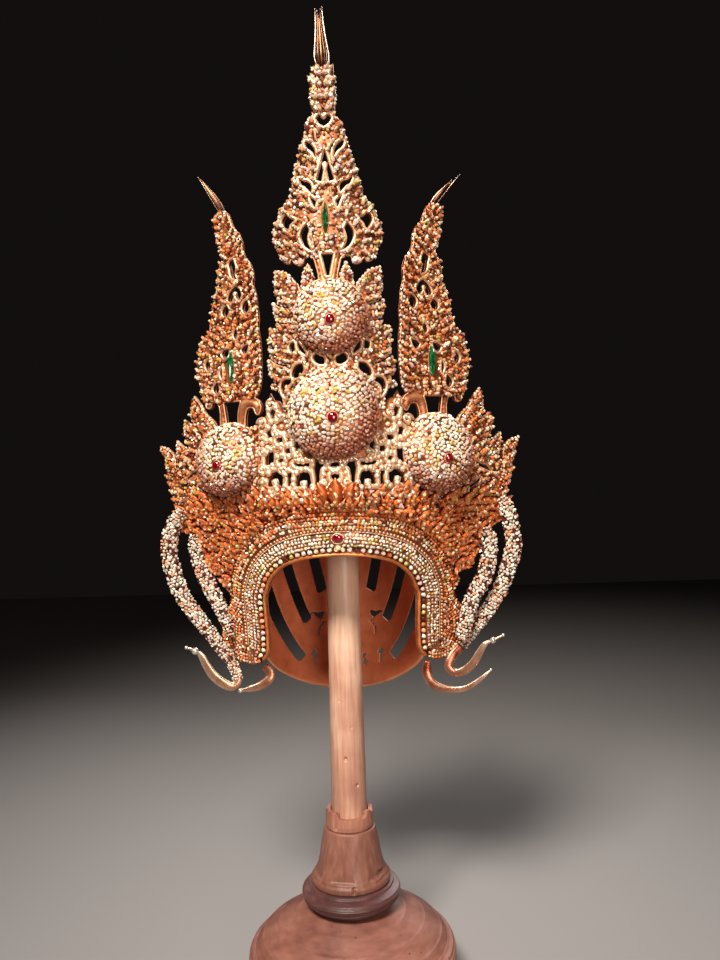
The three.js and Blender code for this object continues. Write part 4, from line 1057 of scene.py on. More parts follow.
class Disc:
    """A dome on the curved front. Its own axes run across, up and outward from the middle of its back."""

    def __init__(self, x, z, radius, rise, drop, turn):
        self.radius, self.rise, self.drop, self.turn = radius, rise, drop, turn
        self.axes = axes_at(x, z)
        self.centre = on_front(np.array([[x, z]], float), PLATE_GAP)[0]

    def height(self, r):
        share = np.clip((r - DISC_SEAT) / (self.radius - DISC_SEAT), 0, 1)
        return 1 + (self.rise - 1) * np.sqrt(1 - share ** 2)

    def turned(self, across, up, outward):
        """Places a point given from the dome's own axis, with the face's turn."""
        cos, sin = math.cos(self.turn), math.sin(self.turn)
        local = np.stack([across * cos - outward * sin, up,
                          across * sin + outward * cos + self.radius * sin], axis=-1)
        return self.centre + local @ self.axes

    def place(self, r, angle):
        height = self.height(r)
        return self.turned(r * np.cos(angle), r * np.sin(angle) - height * self.drop / self.rise, height)

    def normal(self, r, angle):
        step = 0.05
        r = np.maximum(r, 2 * step)
        outer, inner = self.place(r, angle), self.place(r - step, angle)
        return unit(np.cross(outer - inner, self.place(r, angle + step) - outer))

    def foot(self, angle):
        """Points round the rim, on the back plane."""
        ring = np.stack([np.cos(angle), np.sin(angle), np.zeros_like(angle)], axis=-1) * self.radius
        return self.centre + ring @ self.axes

    def profile(self):
        """Distances from the axis, and how far along the dome's face they lie."""
        r = self.radius * np.sin(np.linspace(0, math.pi / 2, 400))
        climb = np.diff(self.height(r), prepend=self.rise)
        return r, np.cumsum(np.hypot(np.diff(r, prepend=0), climb))


def build_disc(name, x, z, radius, rise, drop, turn, side, ruby_node, ruby_radius):
    """A paved dome with its ruby."""
    disc = Disc(x, z, radius, rise, drop, turn)
    shape = Shape()
    r, along = disc.profile()
    rings = np.interp(np.linspace(0, along[-1], DISC_RINGS), along, r)
    angle = around(DISC_SIDES)
    dome = disc.place(np.repeat(rings, DISC_SIDES), np.tile(angle, DISC_RINGS))
    rim, foot = disc.place(np.full(DISC_SIDES, radius), angle), disc.foot(angle)
    wall = [rim + (foot - rim) * share for share in (0.33, 0.66, 1.0)]
    faces = grid_faces(DISC_RINGS + len(wall), DISC_SIDES)
    # the dome's metal carries a low shade: painted shade in the gaps between its stones
    shape.add(np.concatenate([dome, *wall]), [faces], 0, True, 0.2)
    outward = np.tile(disc.axes[2], (DISC_SIDES, 1))
    add_tube(shape, foot + disc.axes[2] * 0.7, outward, 1.0, 6, True, 0, 0.8)
    add_disc_stones(shape, disc, r, along, ruby_radius + 1.3)
    out = rim - rim.mean(axis=0)
    depth = np.linalg.norm(rim - foot, axis=1)
    for level in np.arange(DISC_PITCH, depth.max(), DISC_PITCH):
        deep = depth > level + 0.5
        centres = (rim + (foot - rim) * (level / np.maximum(depth, 1e-6))[:, None])[deep]
        add_stones(shape, centres + unit(out[deep]) * 0.3, unit(out[deep]), DISC_STONE * 0.9, 6)
    seat = disc.turned(0.0, -drop, rise)
    axes = np.stack([disc.turned(*step) for step in np.eye(3)]) - disc.turned(0.0, 0.0, 0.0)
    add_setting(shape, seat, axes, ruby_radius + 0.1, ruby_radius * RUBY_TALL + 0.1)
    shape.build(f"{name}_paved", [GOLD, BRIGHT], [name], side)
    ruby_seat = seat + axes[2] * PLATE_GAP
    build_cabochon(ruby_node, ruby_seat, axes, ruby_radius, ruby_radius * RUBY_TALL, side)


SHADOW_TURN = math.radians(-60)     # towards the painted shadow that darkens the stones low on the domes


def add_disc_stones(shape, disc, r, along, first):
    """Rings of stones round the dome, from just outside the ruby to the rim."""
    reach, ring = first + DISC_PITCH / 2, 0
    while reach < along[-1] - 0.6:
        here = np.interp(reach, along, r)
        count = max(5, int(2 * math.pi * here / DISC_PITCH))
        turn = (np.arange(count) + 0.5 * ring) * 2 * math.pi / count
        turn += rng.uniform(-0.22, 0.22, count) * DISC_PITCH / here
        spot = np.minimum(here + rng.uniform(-0.6, 0.6, count), disc.radius)
        sizes = DISC_STONE * rng.uniform(0.72, 1.14, count)
        normals = disc.normal(spot, turn)
        places = disc.place(spot, turn) + normals * rng.uniform(-0.2, 1.1, (count, 1))
        # painted shadow: stones darken low on each dome and towards its rim, and some at random
        lit = 0.5 - 0.5 * np.cos(turn - SHADOW_TURN)
        painted_shadow = 1.55 * (1 - lit) * here / disc.radius
        shade = np.clip(1.15 - painted_shadow - rng.uniform(0, 0.55, count) ** 2, 0.05, 1)
        add_stones(shape, places, normals, sizes, tilt=0.3, shade=shade, uneven=0.3)
        reach += DISC_PITCH * 0.92
        ring += 1


def add_setting(shape, centre, axes, radius_x, radius_z, wire=0.55, claws=8):
    """A bezel wire with claws round an oval stone."""
    def oval(angle):
        wide, tall = radius_x * np.cos(angle), radius_z * np.sin(angle)
        return centre + np.outer(wide, axes[0]) + np.outer(tall, axes[1])

    ring = oval(np.linspace(0, 2 * math.pi, 28, endpoint=False))
    add_tube(shape, ring + axes[2] * 0.5, np.tile(axes[2], (len(ring), 1)), wire, 6, True, 0, 0.9)
    add_balls(shape, oval(around(claws) + 0.3) + axes[2] * 1.1, 0.62, 0, 0.9, 4, 6)


RUBY_RISE = 3.4


def build_cabochon(node, seat, axes, wide, tall, side=1):
    """A smooth domed ruby on its seat."""
    rings, sides = 9, 28
    climb = np.linspace(0, math.pi / 2, rings)[:, None]
    angle = around(sides)
    local = np.stack([np.cos(climb) * np.cos(angle) * wide, np.cos(climb) * np.sin(angle) * tall,
                      (0.25 + 0.75 * np.sin(climb)) * np.ones(sides) * RUBY_RISE], axis=-1).reshape(-1, 3)
    girdle = local[:sides] * [1, 1, 0]
    shape = Shape()
    points = seat + np.concatenate([girdle, local]) @ axes
    faces = [grid_faces(rings + 1, sides), end_faces(rings + 1, sides)[:1]]
    shape.add(points, faces, 0, True, 1.0)
    shape.build(f"{node}_stone", [RUBY], [node], side)


for name, measures in DISCS.items():
    build_disc(name, *measures)

# ---------------------------------------------------------------- the other coloured stones

BROW_RUBY = (0.0, 445.0)
DROP_BELOW = 8.3          # how far under the ruby the small clear stone sits
brow_axes = axes_at(*BROW_RUBY)
brow_seat = on_front(np.array([BROW_RUBY]), PLATE_GAP)[0]
build_cabochon("ruby_brow", brow_seat, brow_axes, 5.0, 4.2)
brow = Shape()
add_setting(brow, brow_seat + brow_axes[2], brow_axes, 5.4, 4.6, 0.7, 10)
drop_seat = brow_seat - brow_axes[1] * DROP_BELOW + brow_axes[2]
add_setting(brow, drop_seat, brow_axes, 2.3, 2.3, 0.5, 4)
add_stones(brow, (drop_seat + brow_axes[2] * 0.6)[None], brow_axes[2:], 2.3, 8)
brow.build("brow_ruby_setting", [PALE_GOLD, CLEAR])

# From a marquise's girdle to its table: share of its width, and height as a share of its rise.
MARQUISE_RINGS = ((1.0, 0.0), (1.0, 0.25), (0.72, 0.75), (0.4, 1.0))


def build_marquise(node):
    """A pointed oval cut stone with its bezel wire."""
    points = node_points(node)
    middle = points.mean(axis=0)
    across, up, outward = axes_at(middle[0], middle[2])
    height = points @ outward
    centre = middle + outward * (height.min() - middle @ outward)
    wide = np.abs((points - centre) @ across).max()
    tall = np.abs((points - centre) @ up).max()
    rise = height.max() - height.min()
    steps = 24
    cos, sin = np.cos(around(steps)), np.sin(around(steps))
    pointed = np.sign(cos) * np.abs(cos) ** 1.4

    def ring(width, length, lift):
        return centre + np.outer(pointed * width, across) + np.outer(sin * length, up) + outward * lift

    local = [ring(wide * size, tall * (0.4 + 0.6 * size), rise * level) for size, level in MARQUISE_RINGS]
    faces = [grid_faces(len(local), steps), end_faces(len(local), steps)]
    stone = Shape()
    stone.add(np.concatenate(local), faces, 0, False, 1.0)
    stone.build(f"{node}_stone", [EMERALD], [node])
    setting = Shape()
    edge = ring(wide + 0.6, tall + 0.8, 0.4)
    add_tube(setting, edge, np.tile(outward, (steps, 1)), 0.55, 6, True, 0, 0.6)
    setting.build(f"{node}_bezel", [GOLD])


for node in ("emerald_center", "emerald_right", "emerald_left"):
    build_marquise(node)

# ---------------------------------------------------------------- bundles of blades at the spires' points

DARK_GOLD = gilt("gilt_blades", (0.1, 0.03, 0.012), (0.36, 0.15, 0.07), (1.0, 0.76, 0.6), 0.3, 0.8)

# Shares of the height and of the bud's radius.
CENTER_TIP_RINGS = np.array([(0, 0.6), (0.1, 0.95), (0.2, 1), (0.45, 0.72), (0.7, 0.53), (1, 0.48)])
SIDE_TIP_RINGS = np.array([(0, 0.7), (0.2, 0.9), (0.45, 0.8), (0.7, 0.5), (1, 0.15)])
# Per blade: the way it faces in degrees (-90 is the front), share of the height, half-width, shade.
CENTER_BLADES = [(0, 1, 1.5, 1), (180, 0.97, 1.5, 1), (-60, 0.93, 1.3, 0.1), (-120, 0.9, 1.3, 0.1),
                 (-90, 0.82, 1.1, 0.4), (60, 0.95, 1.3, 0.3), (120, 0.98, 1.3, 0.3), (90, 0.9, 1.3, 0.6)]
RIGHT_BLADES = [(180, 0.8, 1.5, 0.9), (0, 1, 0.9, 1), (-90, 0.66, 1.3, 0), (90, 0.7, 1.3, 0)]
LEFT_BLADES = [(0, 0.8, 1.1, 0.6), (180, 1, 0.9, 1), (-60, 0.84, 1.1, 0.1), (-120, 0.76, 1.1, 0.2),
               (60, 0.7, 1.1, 0.2), (120, 0.82, 1.1, 0.3), (-90, 0.92, 0.8, 0.5)]
# Per tip: x of its base and sideways reach of its end, as in the frame, the bud's radius, rings and blades.
TIPS = {
    "tip_center": (-1.5, -2, 6.2, CENTER_TIP_RINGS, CENTER_BLADES),
    "tip_right": (94.2, 24, 3.8, SIDE_TIP_RINGS, RIGHT_BLADES),
    "tip_left": (-100, -20, 3.8, SIDE_TIP_RINGS, LEFT_BLADES),
}


def build_tip(node, base_x, lean, radius, rings, blades):
    """Long thin blades round a dark middle."""
    low, high = box(node)
    base = on_front(np.array([[base_x, low[2]]]), -SHEET / 2)[0]
    height = high[2] - low[2]
    bundle = Shape()
    steps = 16

    def spine(share):
        return base + np.outer(share, [0, 0, height]) + np.outer(lean * share ** 1.2, [1, 0, 0])

    for degrees, tall, width, shade in blades:
        share = np.linspace(0, tall, steps)
        turn = math.radians(degrees)
        out = np.array([math.cos(turn), math.sin(turn), 0])
        path = spine(share) + np.outer(radius * np.interp(share, *rings.T), out)
        swell = np.sin(math.pi * np.clip(0.2 + 0.76 * share / tall, 0, 1)) ** 0.7
        add_tube(bundle, path, np.tile(out, (steps, 1)), width * swell + 0.1, 6, False, 0, shade, 0.5)
        add_balls(bundle, path[-1:], 0.55, 0, 1.0, 4, 8)
    share = np.linspace(0, 0.75, steps)
    core = radius * np.interp(share, *rings.T) * 0.75
    add_tube(bundle, spine(share), np.tile([0.0, -1.0, 0.0], (steps, 1)), core, 8, False, 0, 0.0)
    bundle.build(f"{node}_blades", [DARK_GOLD], [node])


for node, tip in TIPS.items():
    build_tip(node, *tip)

# ---------------------------------------------------------------- tresses and tendrils

# Columns: x, y, z, half-width, half-thickness, as in the frame.
TRESSES = {
    "tress_outer_right": [
        (153, -15, 478, 6, 4.6), (160, -14, 464, 7, 4.9), (164.5, -12, 442, 7.6, 5), (165, -9, 427, 7.6, 5),
        (158, -4, 402, 7.2, 4.8), (149.7, 0, 382.6, 6.9, 4.6), (138, 2.5, 365, 6.6, 4.5),
        (125, 4, 347.5, 6, 4.2), (114.7, 4, 334.2, 5.2, 3.9)],
    "tress_outer_left": [
        (-151, -15, 475, 6, 4.6), (-163, -12, 453, 7.4, 5), (-165.6, -10, 430, 7.7, 5),
        (-157, -7, 396, 7.5, 5),
        (-142.5, -3, 370.7, 7.2, 4.8), (-127.8, 0, 349.4, 6.4, 4.6), (-116.8, 1, 332.4, 5.6, 4.2),
        (-111, 1.2, 323.5, 4.8, 3.6)],
    "tress_inner_right": [
        (138, -16, 450, 5.6, 4.4), (141, -16, 438.7, 6.8, 4.8), (140.8, -15, 424.7, 7.6, 4.8),
        (136, -13.5, 403, 7.6, 4.8), (127.7, -12, 388.4, 7.4, 4.6), (121, -11, 374, 7, 4.5),
        (117.5, -10, 358, 6.4, 4.3), (112.3, -9, 343, 5.4, 4)],
    "tress_inner_left": [
        (-139, -16, 451, 5.6, 4.4), (-139.5, -14, 442, 6.6, 4.8), (-136.5, -12, 424, 7.2, 4.8),
        (-128.4, -10, 401.5, 7, 4.6), (-119, -9, 380.7, 6.4, 4.4), (-113, -8.5, 364, 5.4, 4),
        (-109.5, -8, 353, 4, 3.2)],
}
TENDRILS = {
    "tendril_upper_right": [
        (113.7, 3.9, 332.8, 4.6, 3.2), (105, 0, 325, 4.6, 2.6), (100.5, -3, 315, 4.4, 2.3),
        (106.5, -4, 308.8, 4, 2.1), (116.4, -5, 311.8, 4.2, 2), (124.6, -6, 318.9, 4.2, 1.9),
        (129.9, -7, 328, 3.6, 1.8), (136, -8, 337, 2.6, 1.6), (144.5, -8, 340.5, 1.6, 1.2),
        (154.5, -8, 345.5, 1.2, 1)],
    "tendril_upper_left": [
        (-110.4, 1.2, 322.6, 4.6, 3.2), (-106.3, 1, 314, 4.4, 2.8), (-105.4, 0, 306, 4.2, 2.4),
        (-110.5, -1.5, 301.2, 4.2, 2.2), (-119.4, -3, 305, 4.6, 2), (-128.2, -4, 313.1, 4.5, 1.9),
        (-134.5, -5, 323.5, 4, 1.8), (-139, -6, 333, 3.2, 1.6), (-145, -7, 338, 2.2, 1.4),
        (-154, -7, 341.5, 1.2, 1)],
    "tendril_lower_right": [
        (79.6, -9, 322, 4, 2.6), (78.8, -10, 310, 4.6, 2.4), (83.9, -12, 300.5, 4.2, 2.2),
        (96.6, -14, 295.5, 3.4, 2), (112.6, -16, 296.1, 2.8, 1.7), (124.6, -17, 302, 2.4, 1.5),
        (133.6, -18, 309, 1.8, 1.2), (140, -18, 314.5, 1, 0.9)],
    "tendril_lower_left": [
        (-77.5, -8, 321.5, 4, 2.4), (-72.4, -9.5, 315.5, 4.4, 2.4), (-73.1, -11, 309.2, 4.4, 2.3),
        (-81.2, -12, 303.6, 4, 2.1), (-91.2, -13, 301.1, 3, 1.8), (-101.5, -14, 299.5, 1.6, 1.1)],
}
# Per tendril: its round knobs, each with its share of the length and radius, how far from its root it is
# paved, and how pale it is there.
TENDRIL_ENDS = {
    "tendril_upper_right": (((0.87, 3.0), (0.985, 1.7)), 0, 0),
    "tendril_upper_left": (((0.88, 3.4), (0.985, 1.7)), 17, 0.4),
    "tendril_lower_right": (((0.985, 1.3),), 0, 0),
    "tendril_lower_left": (((0.97, 2.3),), 0, 0),
}


def smooth_rows(rows, count):
    """A smooth curve through the rows, evenly spaced along its length, and that length."""
    rows = np.array(rows, float)
    ends = np.vstack([2 * rows[0] - rows[1], rows, 2 * rows[-1] - rows[-2]])
    t = np.linspace(0, 1, 24, endpoint=False)[:, None]
    pieces = []
    for a, b, c, d in zip(ends[:-3], ends[1:-2], ends[2:-1], ends[3:]):
        square = (2 * a - 5 * b + 4 * c - d) * t ** 2
        cube = (3 * b - a - 3 * c + d) * t ** 3
        pieces.append(0.5 * (2 * b + (c - a) * t + square + cube))
    curve = np.vstack([*pieces, rows[-1:]])
    along = lengths_along(curve[:, :3])
    at = np.linspace(0, along[-1], count)
    return np.stack([np.interp(at, along, curve[:, k]) for k in range(rows.shape[1])], axis=1), along[-1]


def strap_points(rows, angle, grow=0.0):
    """Rings of points round an oval strap with its broad face to the front, and the points' normals."""
    tangent = unit(np.gradient(rows[:, :3], axis=0))
    face = unit([0.0, -1.0, 0.0] + tangent * tangent[:, 1:2])
    across = np.cross(tangent, face)[:, None]
    wide, thick = rows[:, 3, None, None] + grow, rows[:, 4, None, None] + grow
    cos, sin = np.cos(angle)[..., None], np.sin(angle)[..., None]
    ring = cos * across * wide + sin * face[:, None] * thick
    normal = cos * across / wide + sin * face[:, None] / thick
    return rows[:, None, :3] + ring, unit(normal)


def add_strap(shape, rows, angle, shade):
    """A closed oval strap along the rows."""
    points, _ = strap_points(rows, angle)
    grid = len(rows), len(angle)
    shape.add(points.reshape(-1, 3), [grid_faces(*grid), end_faces(*grid)], 0, True, shade)


TRESS_STONE = 2.0         # radius
TRESS_PITCH = 3.0
TRESS_AROUND = 9          # stones in a ring
TRESS_ROWS, TENDRIL_ROWS = 120, 90
STONE_ROOM = 0.9          # how much thinner a tress is than in the frame, to leave room for its stones
TRESS_TAPER = 7           # length over which a tress widens from its upper end
RIBBON_FLAT = 0.75        # a tendril's thickness, as a share of the frame's
KNOB_NECK = 9             # length over which a tendril narrows towards a knob


def add_tress_stones(shape, rows, length, first, last):
    """Staggered rings of stones round a strap, between two places along it in millimetres."""
    count = len(rows)
    at = np.arange(first, last, TRESS_PITCH) / length * (count - 1)
    places = np.stack([np.interp(at, np.arange(count), rows[:, k]) for k in range(5)], axis=1)
    step = 2 * math.pi / TRESS_AROUND
    turn = np.arange(TRESS_AROUND) * step + (np.arange(len(places)) % 2 * step / 2)[:, None]
    centres, normals = strap_points(places, turn + 0.16 * np.sin(2 * turn), 0.15)
    centres = centres.reshape(-1, 3) + rng.normal(0, 0.4, (centres.size // 3, 3))
    narrow = np.repeat(np.clip(places[:, 3] / 6, 0.7, 1), TRESS_AROUND)
    sizes = TRESS_STONE * narrow * rng.uniform(0.78, 1.1, len(centres))
    add_stones(shape, centres, normals.reshape(-1, 3), sizes, height=0.75, tilt=0.35, uneven=0.3)


def build_tress(name):
    """A stiff strap, paved all round."""
    rows, length = smooth_rows(TRESSES[name], TRESS_ROWS)
    rows[:, 3:] -= STONE_ROOM
    share = np.linspace(0, 1, TRESS_ROWS)
    rows[:, 3:] *= np.sqrt(np.clip(share * length / TRESS_TAPER, 0.5, 1))[:, None]
    shape = Shape()
    add_strap(shape, rows, around(20), 0.1)
    add_tress_stones(shape, rows, length, 1.5, length)
    shape.build(f"{name}_paved", [SILVER_GOLD, SILVERY], [name])


def build_tendril(name, knobs, paved, pale):
    """A flat ribbon of polished metal, redder at its root, with knobs at its end."""
    rows, length = smooth_rows(TENDRILS[name], TENDRIL_ROWS)
    share_along = np.linspace(0, 1, TENDRIL_ROWS)
    rows[:, 4] *= RIBBON_FLAT
    neck = np.ones(len(rows))
    for share, radius in knobs:
        away = np.abs(share_along - share) * length
        neck = np.minimum(neck, 0.6 + 0.4 * np.clip(away / KNOB_NECK, 0, 1))
    rows[:, 3:] *= neck[:, None]
    sin, cos = np.sin(around(16)), np.cos(around(16))
    boxy = np.arctan2(np.sign(sin) * np.abs(sin) ** 0.7, np.sign(cos) * np.abs(cos) ** 0.7)
    shape = Shape()
    # painted highlight: the ribbon's edges are pale
    painted_edge_highlight = 0.7 * np.abs(np.cos(boxy)) ** 8
    along_shade = pale + (0.8 - pale) * share_along
    add_strap(shape, rows, boxy, (along_shade[:, None] + painted_edge_highlight).reshape(-1))
    for share, radius in knobs:
        place = np.array([np.interp(share, share_along, rows[:, k]) for k in range(3)])
        add_balls(shape, place[None], radius, 0, 1.2, 8, 14)
    if paved:
        add_tress_stones(shape, rows, length, 0.5, paved)
    shape.build(f"{name}_ribbon", [RIBBON, SILVERY], [name])


SILVER_GOLD = gilt("gilt_tress", (0.06, 0.025, 0.012), (0.3, 0.16, 0.09), (0.9, 0.7, 0.5), 0.3)
SAND = (0.86, 0.74, 0.6)
DUSK = (0.7, 0.52, 0.38)
SILVERY = cut_stone("tress_stones", [
    (0.0, SAND), (0.3, IVORY), (0.5, DUSK), (0.68, PINK), (0.8, PEACH), (0.9, BROWN),
], 0.15)
RIBBON = gilt("gilt_ribbon", (0.3, 0.05, 0.025), (0.66, 0.34, 0.2), (1.0, 0.9, 0.76), 0.24, 0.75)
for name in TRESSES:
    build_tress(name)
for name in TENDRILS:
    build_tendril(name, *TENDRIL_ENDS[name])

# ---------------------------------------------------------------- the cap

CAP_CENTRE_Z, CAP_CENTRE_Y = 400.0, -2.0
CAP_HALF_WIDTH, CAP_FRONT, CAP_BACK = 87.0, 100.0, 92.0
CAP_RISE, CAP_FALL = 94.0, 175.0
CAP_SQUARE = 2.5          # how square the cap's curves are, where 2 is round
CAP_WALL = 1.5
CAP_FLOOR = 262.0
FRONT_CLEARANCE = 5.4     # how far behind the front surface the cap is trimmed
CAP_SIDES = 220
ROLL_RADIUS = 1.5
# Half a slot's width, and its start, middle and end on the right half, as x and z.
PETAL_SLOTS = [
    (5.5, [(27, 384), (33, 412), (40, 446)]),
    (5.0, [(43, 353), (58, 388), (67, 440)]),
    (5.0, [(49, 315), (72, 346), (82, 402)]),
]
# Outlines of the motifs cut over the nape, on the right half, as x and z.
NAPE_MOTIFS = [
    [(36.5, 323), (31, 313.5), (35.2, 316.5), (34.6, 306), (36.8, 306), (37.8, 317), (41, 315)],
    [(29, 353), (41, 362), (31, 360), (24, 362), (26, 356)],
    [(17, 316), (15, 312), (17.5, 308), (15.5, 305), (18.5, 302.5), (21, 307), (18, 311), (21, 315)],
    [(24, 351), (29.6, 343), (31, 333), (32.8, 333), (31.8, 344), (25.4, 352.4)],
]
NAPE_MIDDLE_Z, NAPE_SIDE_Z = 281.0, 341.0
NAPE_REACH = 80.0       # distance from the middle plane at which the nape's edge is highest


def cap_surface(level, angle, inset=0.0):
    """Points of the cap. Level runs from 0 at the crown to 1 at its widest and 2 at the floor."""
    power = 2 / CAP_SQUARE
    upper = np.clip(level, 0, 1) * math.pi / 2
    z_up = CAP_CENTRE_Z + (CAP_RISE - inset) * np.maximum(np.cos(upper), 0) ** power
    r_up = np.sin(upper) ** power
    fall = np.clip(level - 1, 0, 1) * (CAP_CENTRE_Z - CAP_FLOOR)
    r_low = (1 - (fall / CAP_FALL) ** CAP_SQUARE) ** (1 / CAP_SQUARE)
    radius = np.where(level <= 1, r_up, r_low)
    z = np.where(level <= 1, z_up, CAP_CENTRE_Z - fall)
    depth = np.where(np.sin(angle) < 0, CAP_FRONT, CAP_BACK) - inset
    return np.stack([(CAP_HALF_WIDTH - inset) * radius * np.cos(angle),
                     CAP_CENTRE_Y + depth * radius * np.sin(angle), z], axis=-1)


def distance_to_polygon(flat, corners):
    """Distance to a closed polygon's edge, negative inside it."""
    corners = np.array(corners, float)
    after = np.roll(corners, -1, axis=0)
    best = np.full(len(flat), 1e9)
    inside = np.zeros(len(flat), bool)
    for a, b in zip(corners, after):
        edge = b - a
        t = np.clip(((flat - a) @ edge) / (edge @ edge), 0, 1)
        best = np.minimum(best, np.linalg.norm(flat - a - t[:, None] * edge, axis=1))
        crosses = (a[1] > flat[:, 1]) != (b[1] > flat[:, 1])
        with np.errstate(divide="ignore", invalid="ignore"):
            at = a[0] + (flat[:, 1] - a[1]) / (b[1] - a[1]) * edge[0]
        inside ^= crosses & (flat[:, 0] < at)
    return np.where(inside, -best, best)


def petal_slot(half, start, middle, end):
    """A strip's outline along a curve from start to end that is drawn towards the middle point. Its foot is
    square and its head pointed."""
    start, middle, end = np.array([start, middle, end], float)
    t = np.linspace(0, 1, 12)[:, None]
    line = (start * (1 - t) + middle * t) * (1 - t) + (middle * (1 - t) + end * t) * t
    along = unit(np.gradient(line, axis=0))
    across = np.stack([-along[:, 1], along[:, 0]], axis=1) * half
    foot = line[0] - along[0] * half * 0.5 - across[0] * 0.6
    return np.vstack([line - across, line[-1] + along[-1] * half * 1.6, (line + across)[::-1], foot])


def nape_z(x):
    """Height of the cap's lower edge behind."""
    share = np.clip(x / NAPE_REACH, -1, 1)
    bow = 1 - np.sqrt(np.maximum(0, 1 - share ** 2 * 0.96))
    return NAPE_MIDDLE_Z + (NAPE_SIDE_Z - NAPE_MIDDLE_Z) * bow


def cap_field(points):
    """The distance to the cap's nearest cut edge, positive where it has metal."""
    x, y, z = points.T
    slope = 1 / -front_normal(points[:, [0, 2]])[:, 1]
    field = (y - front_y(x, z)) / slope - FRONT_CLEARANCE
    field = np.minimum(field, z - nape_z(x))
    flat = np.stack([np.abs(x), z], axis=1)
    for half, (start, middle, end) in PETAL_SLOTS:
        cut = distance_to_polygon(flat, petal_slot(half, start, middle, end))
        field = np.where(y > 5, np.minimum(field, cut), field)
    for corners in NAPE_MOTIFS:
        cut = distance_to_polygon(flat, corners)
        field = np.where(y > 40, np.minimum(field, cut), field)
    return field


def clipped(points, partner, triangles, field):
    """Cuts triangles where the field is 0 and keeps its positive side. Partner points are cut in step.
    Returns both sets of points, the triangles and the edges of the cut."""
    sign = field[triangles] > 0
    kept = triangles[sign.all(axis=1)]
    crossed = sign.any(axis=1) & ~sign.all(axis=1)
    new_points, new_partner, made = [], [], {}

    def between(a, b):
        key = (min(a, b), max(a, b))
        if key not in made:
            t = field[a] / (field[a] - field[b])
            made[key] = len(points) + len(new_points)
            new_points.append(points[a] * (1 - t) + points[b] * t)
            new_partner.append(partner[a] * (1 - t) + partner[b] * t)
        return made[key]

    extra, rim = [], []
    for triangle, inside in zip(triangles[crossed].tolist(), sign[crossed].tolist()):
        turn = inside.index(True) if sum(inside) == 1 else inside.index(False)
        a, b, c = triangle[turn:] + triangle[:turn]
        first, second = between(a, b), between(a, c)
        if sum(inside) == 1:
            extra.append((a, first, second))
            rim.append((first, second))
        else:
            extra += [(first, b, c), (first, c, second)]
            rim.append((second, first))
    all_points = np.concatenate([points, np.array(new_points)])
    all_partner = np.concatenate([partner, np.array(new_partner)])
    return all_points, all_partner, np.concatenate([kept, np.array(extra)]), np.array(rim)


def build_cap():
    """The thin shell with its slots and motifs, gilt outside and coppery inside."""
    levels = np.concatenate([np.linspace(0.02, 1, 56), np.linspace(1, 2, 60)[1:]])
    level_grid, angle_grid = np.meshgrid(levels, around(CAP_SIDES), indexing="ij")
    outer = cap_surface(level_grid, angle_grid).reshape(-1, 3)
    inner = cap_surface(level_grid, angle_grid, CAP_WALL).reshape(-1, 3)
    quads = grid_faces(len(levels), CAP_SIDES)
    first = np.arange(CAP_SIDES)
    crown = np.stack([np.full(CAP_SIDES, len(outer)), np.roll(first, -1), first], axis=1)
    outer = np.vstack([outer, [0, CAP_CENTRE_Y, CAP_CENTRE_Z + CAP_RISE]])
    inner = np.vstack([inner, [0, CAP_CENTRE_Y, CAP_CENTRE_Z + CAP_RISE - CAP_WALL]])
    triangles = np.concatenate([quads[:, [0, 2, 1]], quads[:, [0, 3, 2]], crown[:, ::-1]])
    outer, inner, triangles, rim = clipped(outer, inner, triangles, cap_field(outer))
    used = np.unique(triangles)
    renumber = np.zeros(len(outer), int)
    renumber[used] = np.arange(len(used))
    outer, inner, triangles, rim = outer[used], inner[used], renumber[triangles], renumber[rim]
    count = len(outer)
    shell = Shape()
    walls = np.stack([rim[:, 1], rim[:, 0], rim[:, 0] + count, rim[:, 1] + count], axis=1)
    shell.add(np.concatenate([outer, inner]), [triangles], 0, True, 0.6)
    shell.add_faces(triangles[:, ::-1], count, 1, True)
    shell.add_faces(walls, 0, 1, False)
    add_nape_roll(shell, (outer + inner)[np.unique(rim)] / 2)
    shell.build("cap_shell_fine", [GOLD, COPPER, ROLLED], ["cap_shell"])


def add_nape_roll(shape, rim):
    """Rolls the cap's lower edge behind into a thin round rim."""
    path = rim[(rim[:, 1] > 0) & (np.abs(rim[:, 2] - nape_z(rim[:, 0])) < 0.5)]
    path = path[np.argsort(path[:, 0])]
    x = np.linspace(path[0, 0], path[-1, 0], 100)
    path = np.stack([x, np.interp(x, path[:, 0], path[:, 1]), nape_z(x)], axis=1)
    add_tube(shape, path, unit(path * [1, 1, 0]), ROLL_RADIUS, 8, False, 2, 0.7)


COPPER = gilt("copper_inside", (0.3, 0.07, 0.03), (0.75, 0.22, 0.09), (0.95, 0.38, 0.17), 0.5, 0.3)
ROLLED = gilt("copper_rim", (0.4, 0.1, 0.04), (0.9, 0.34, 0.15), (1.0, 0.6, 0.34), 0.35, 0.4)
build_cap()

# ---------------------------------------------------------------- the wooden stand

PIT = (0.12, 0.04, 0.03)


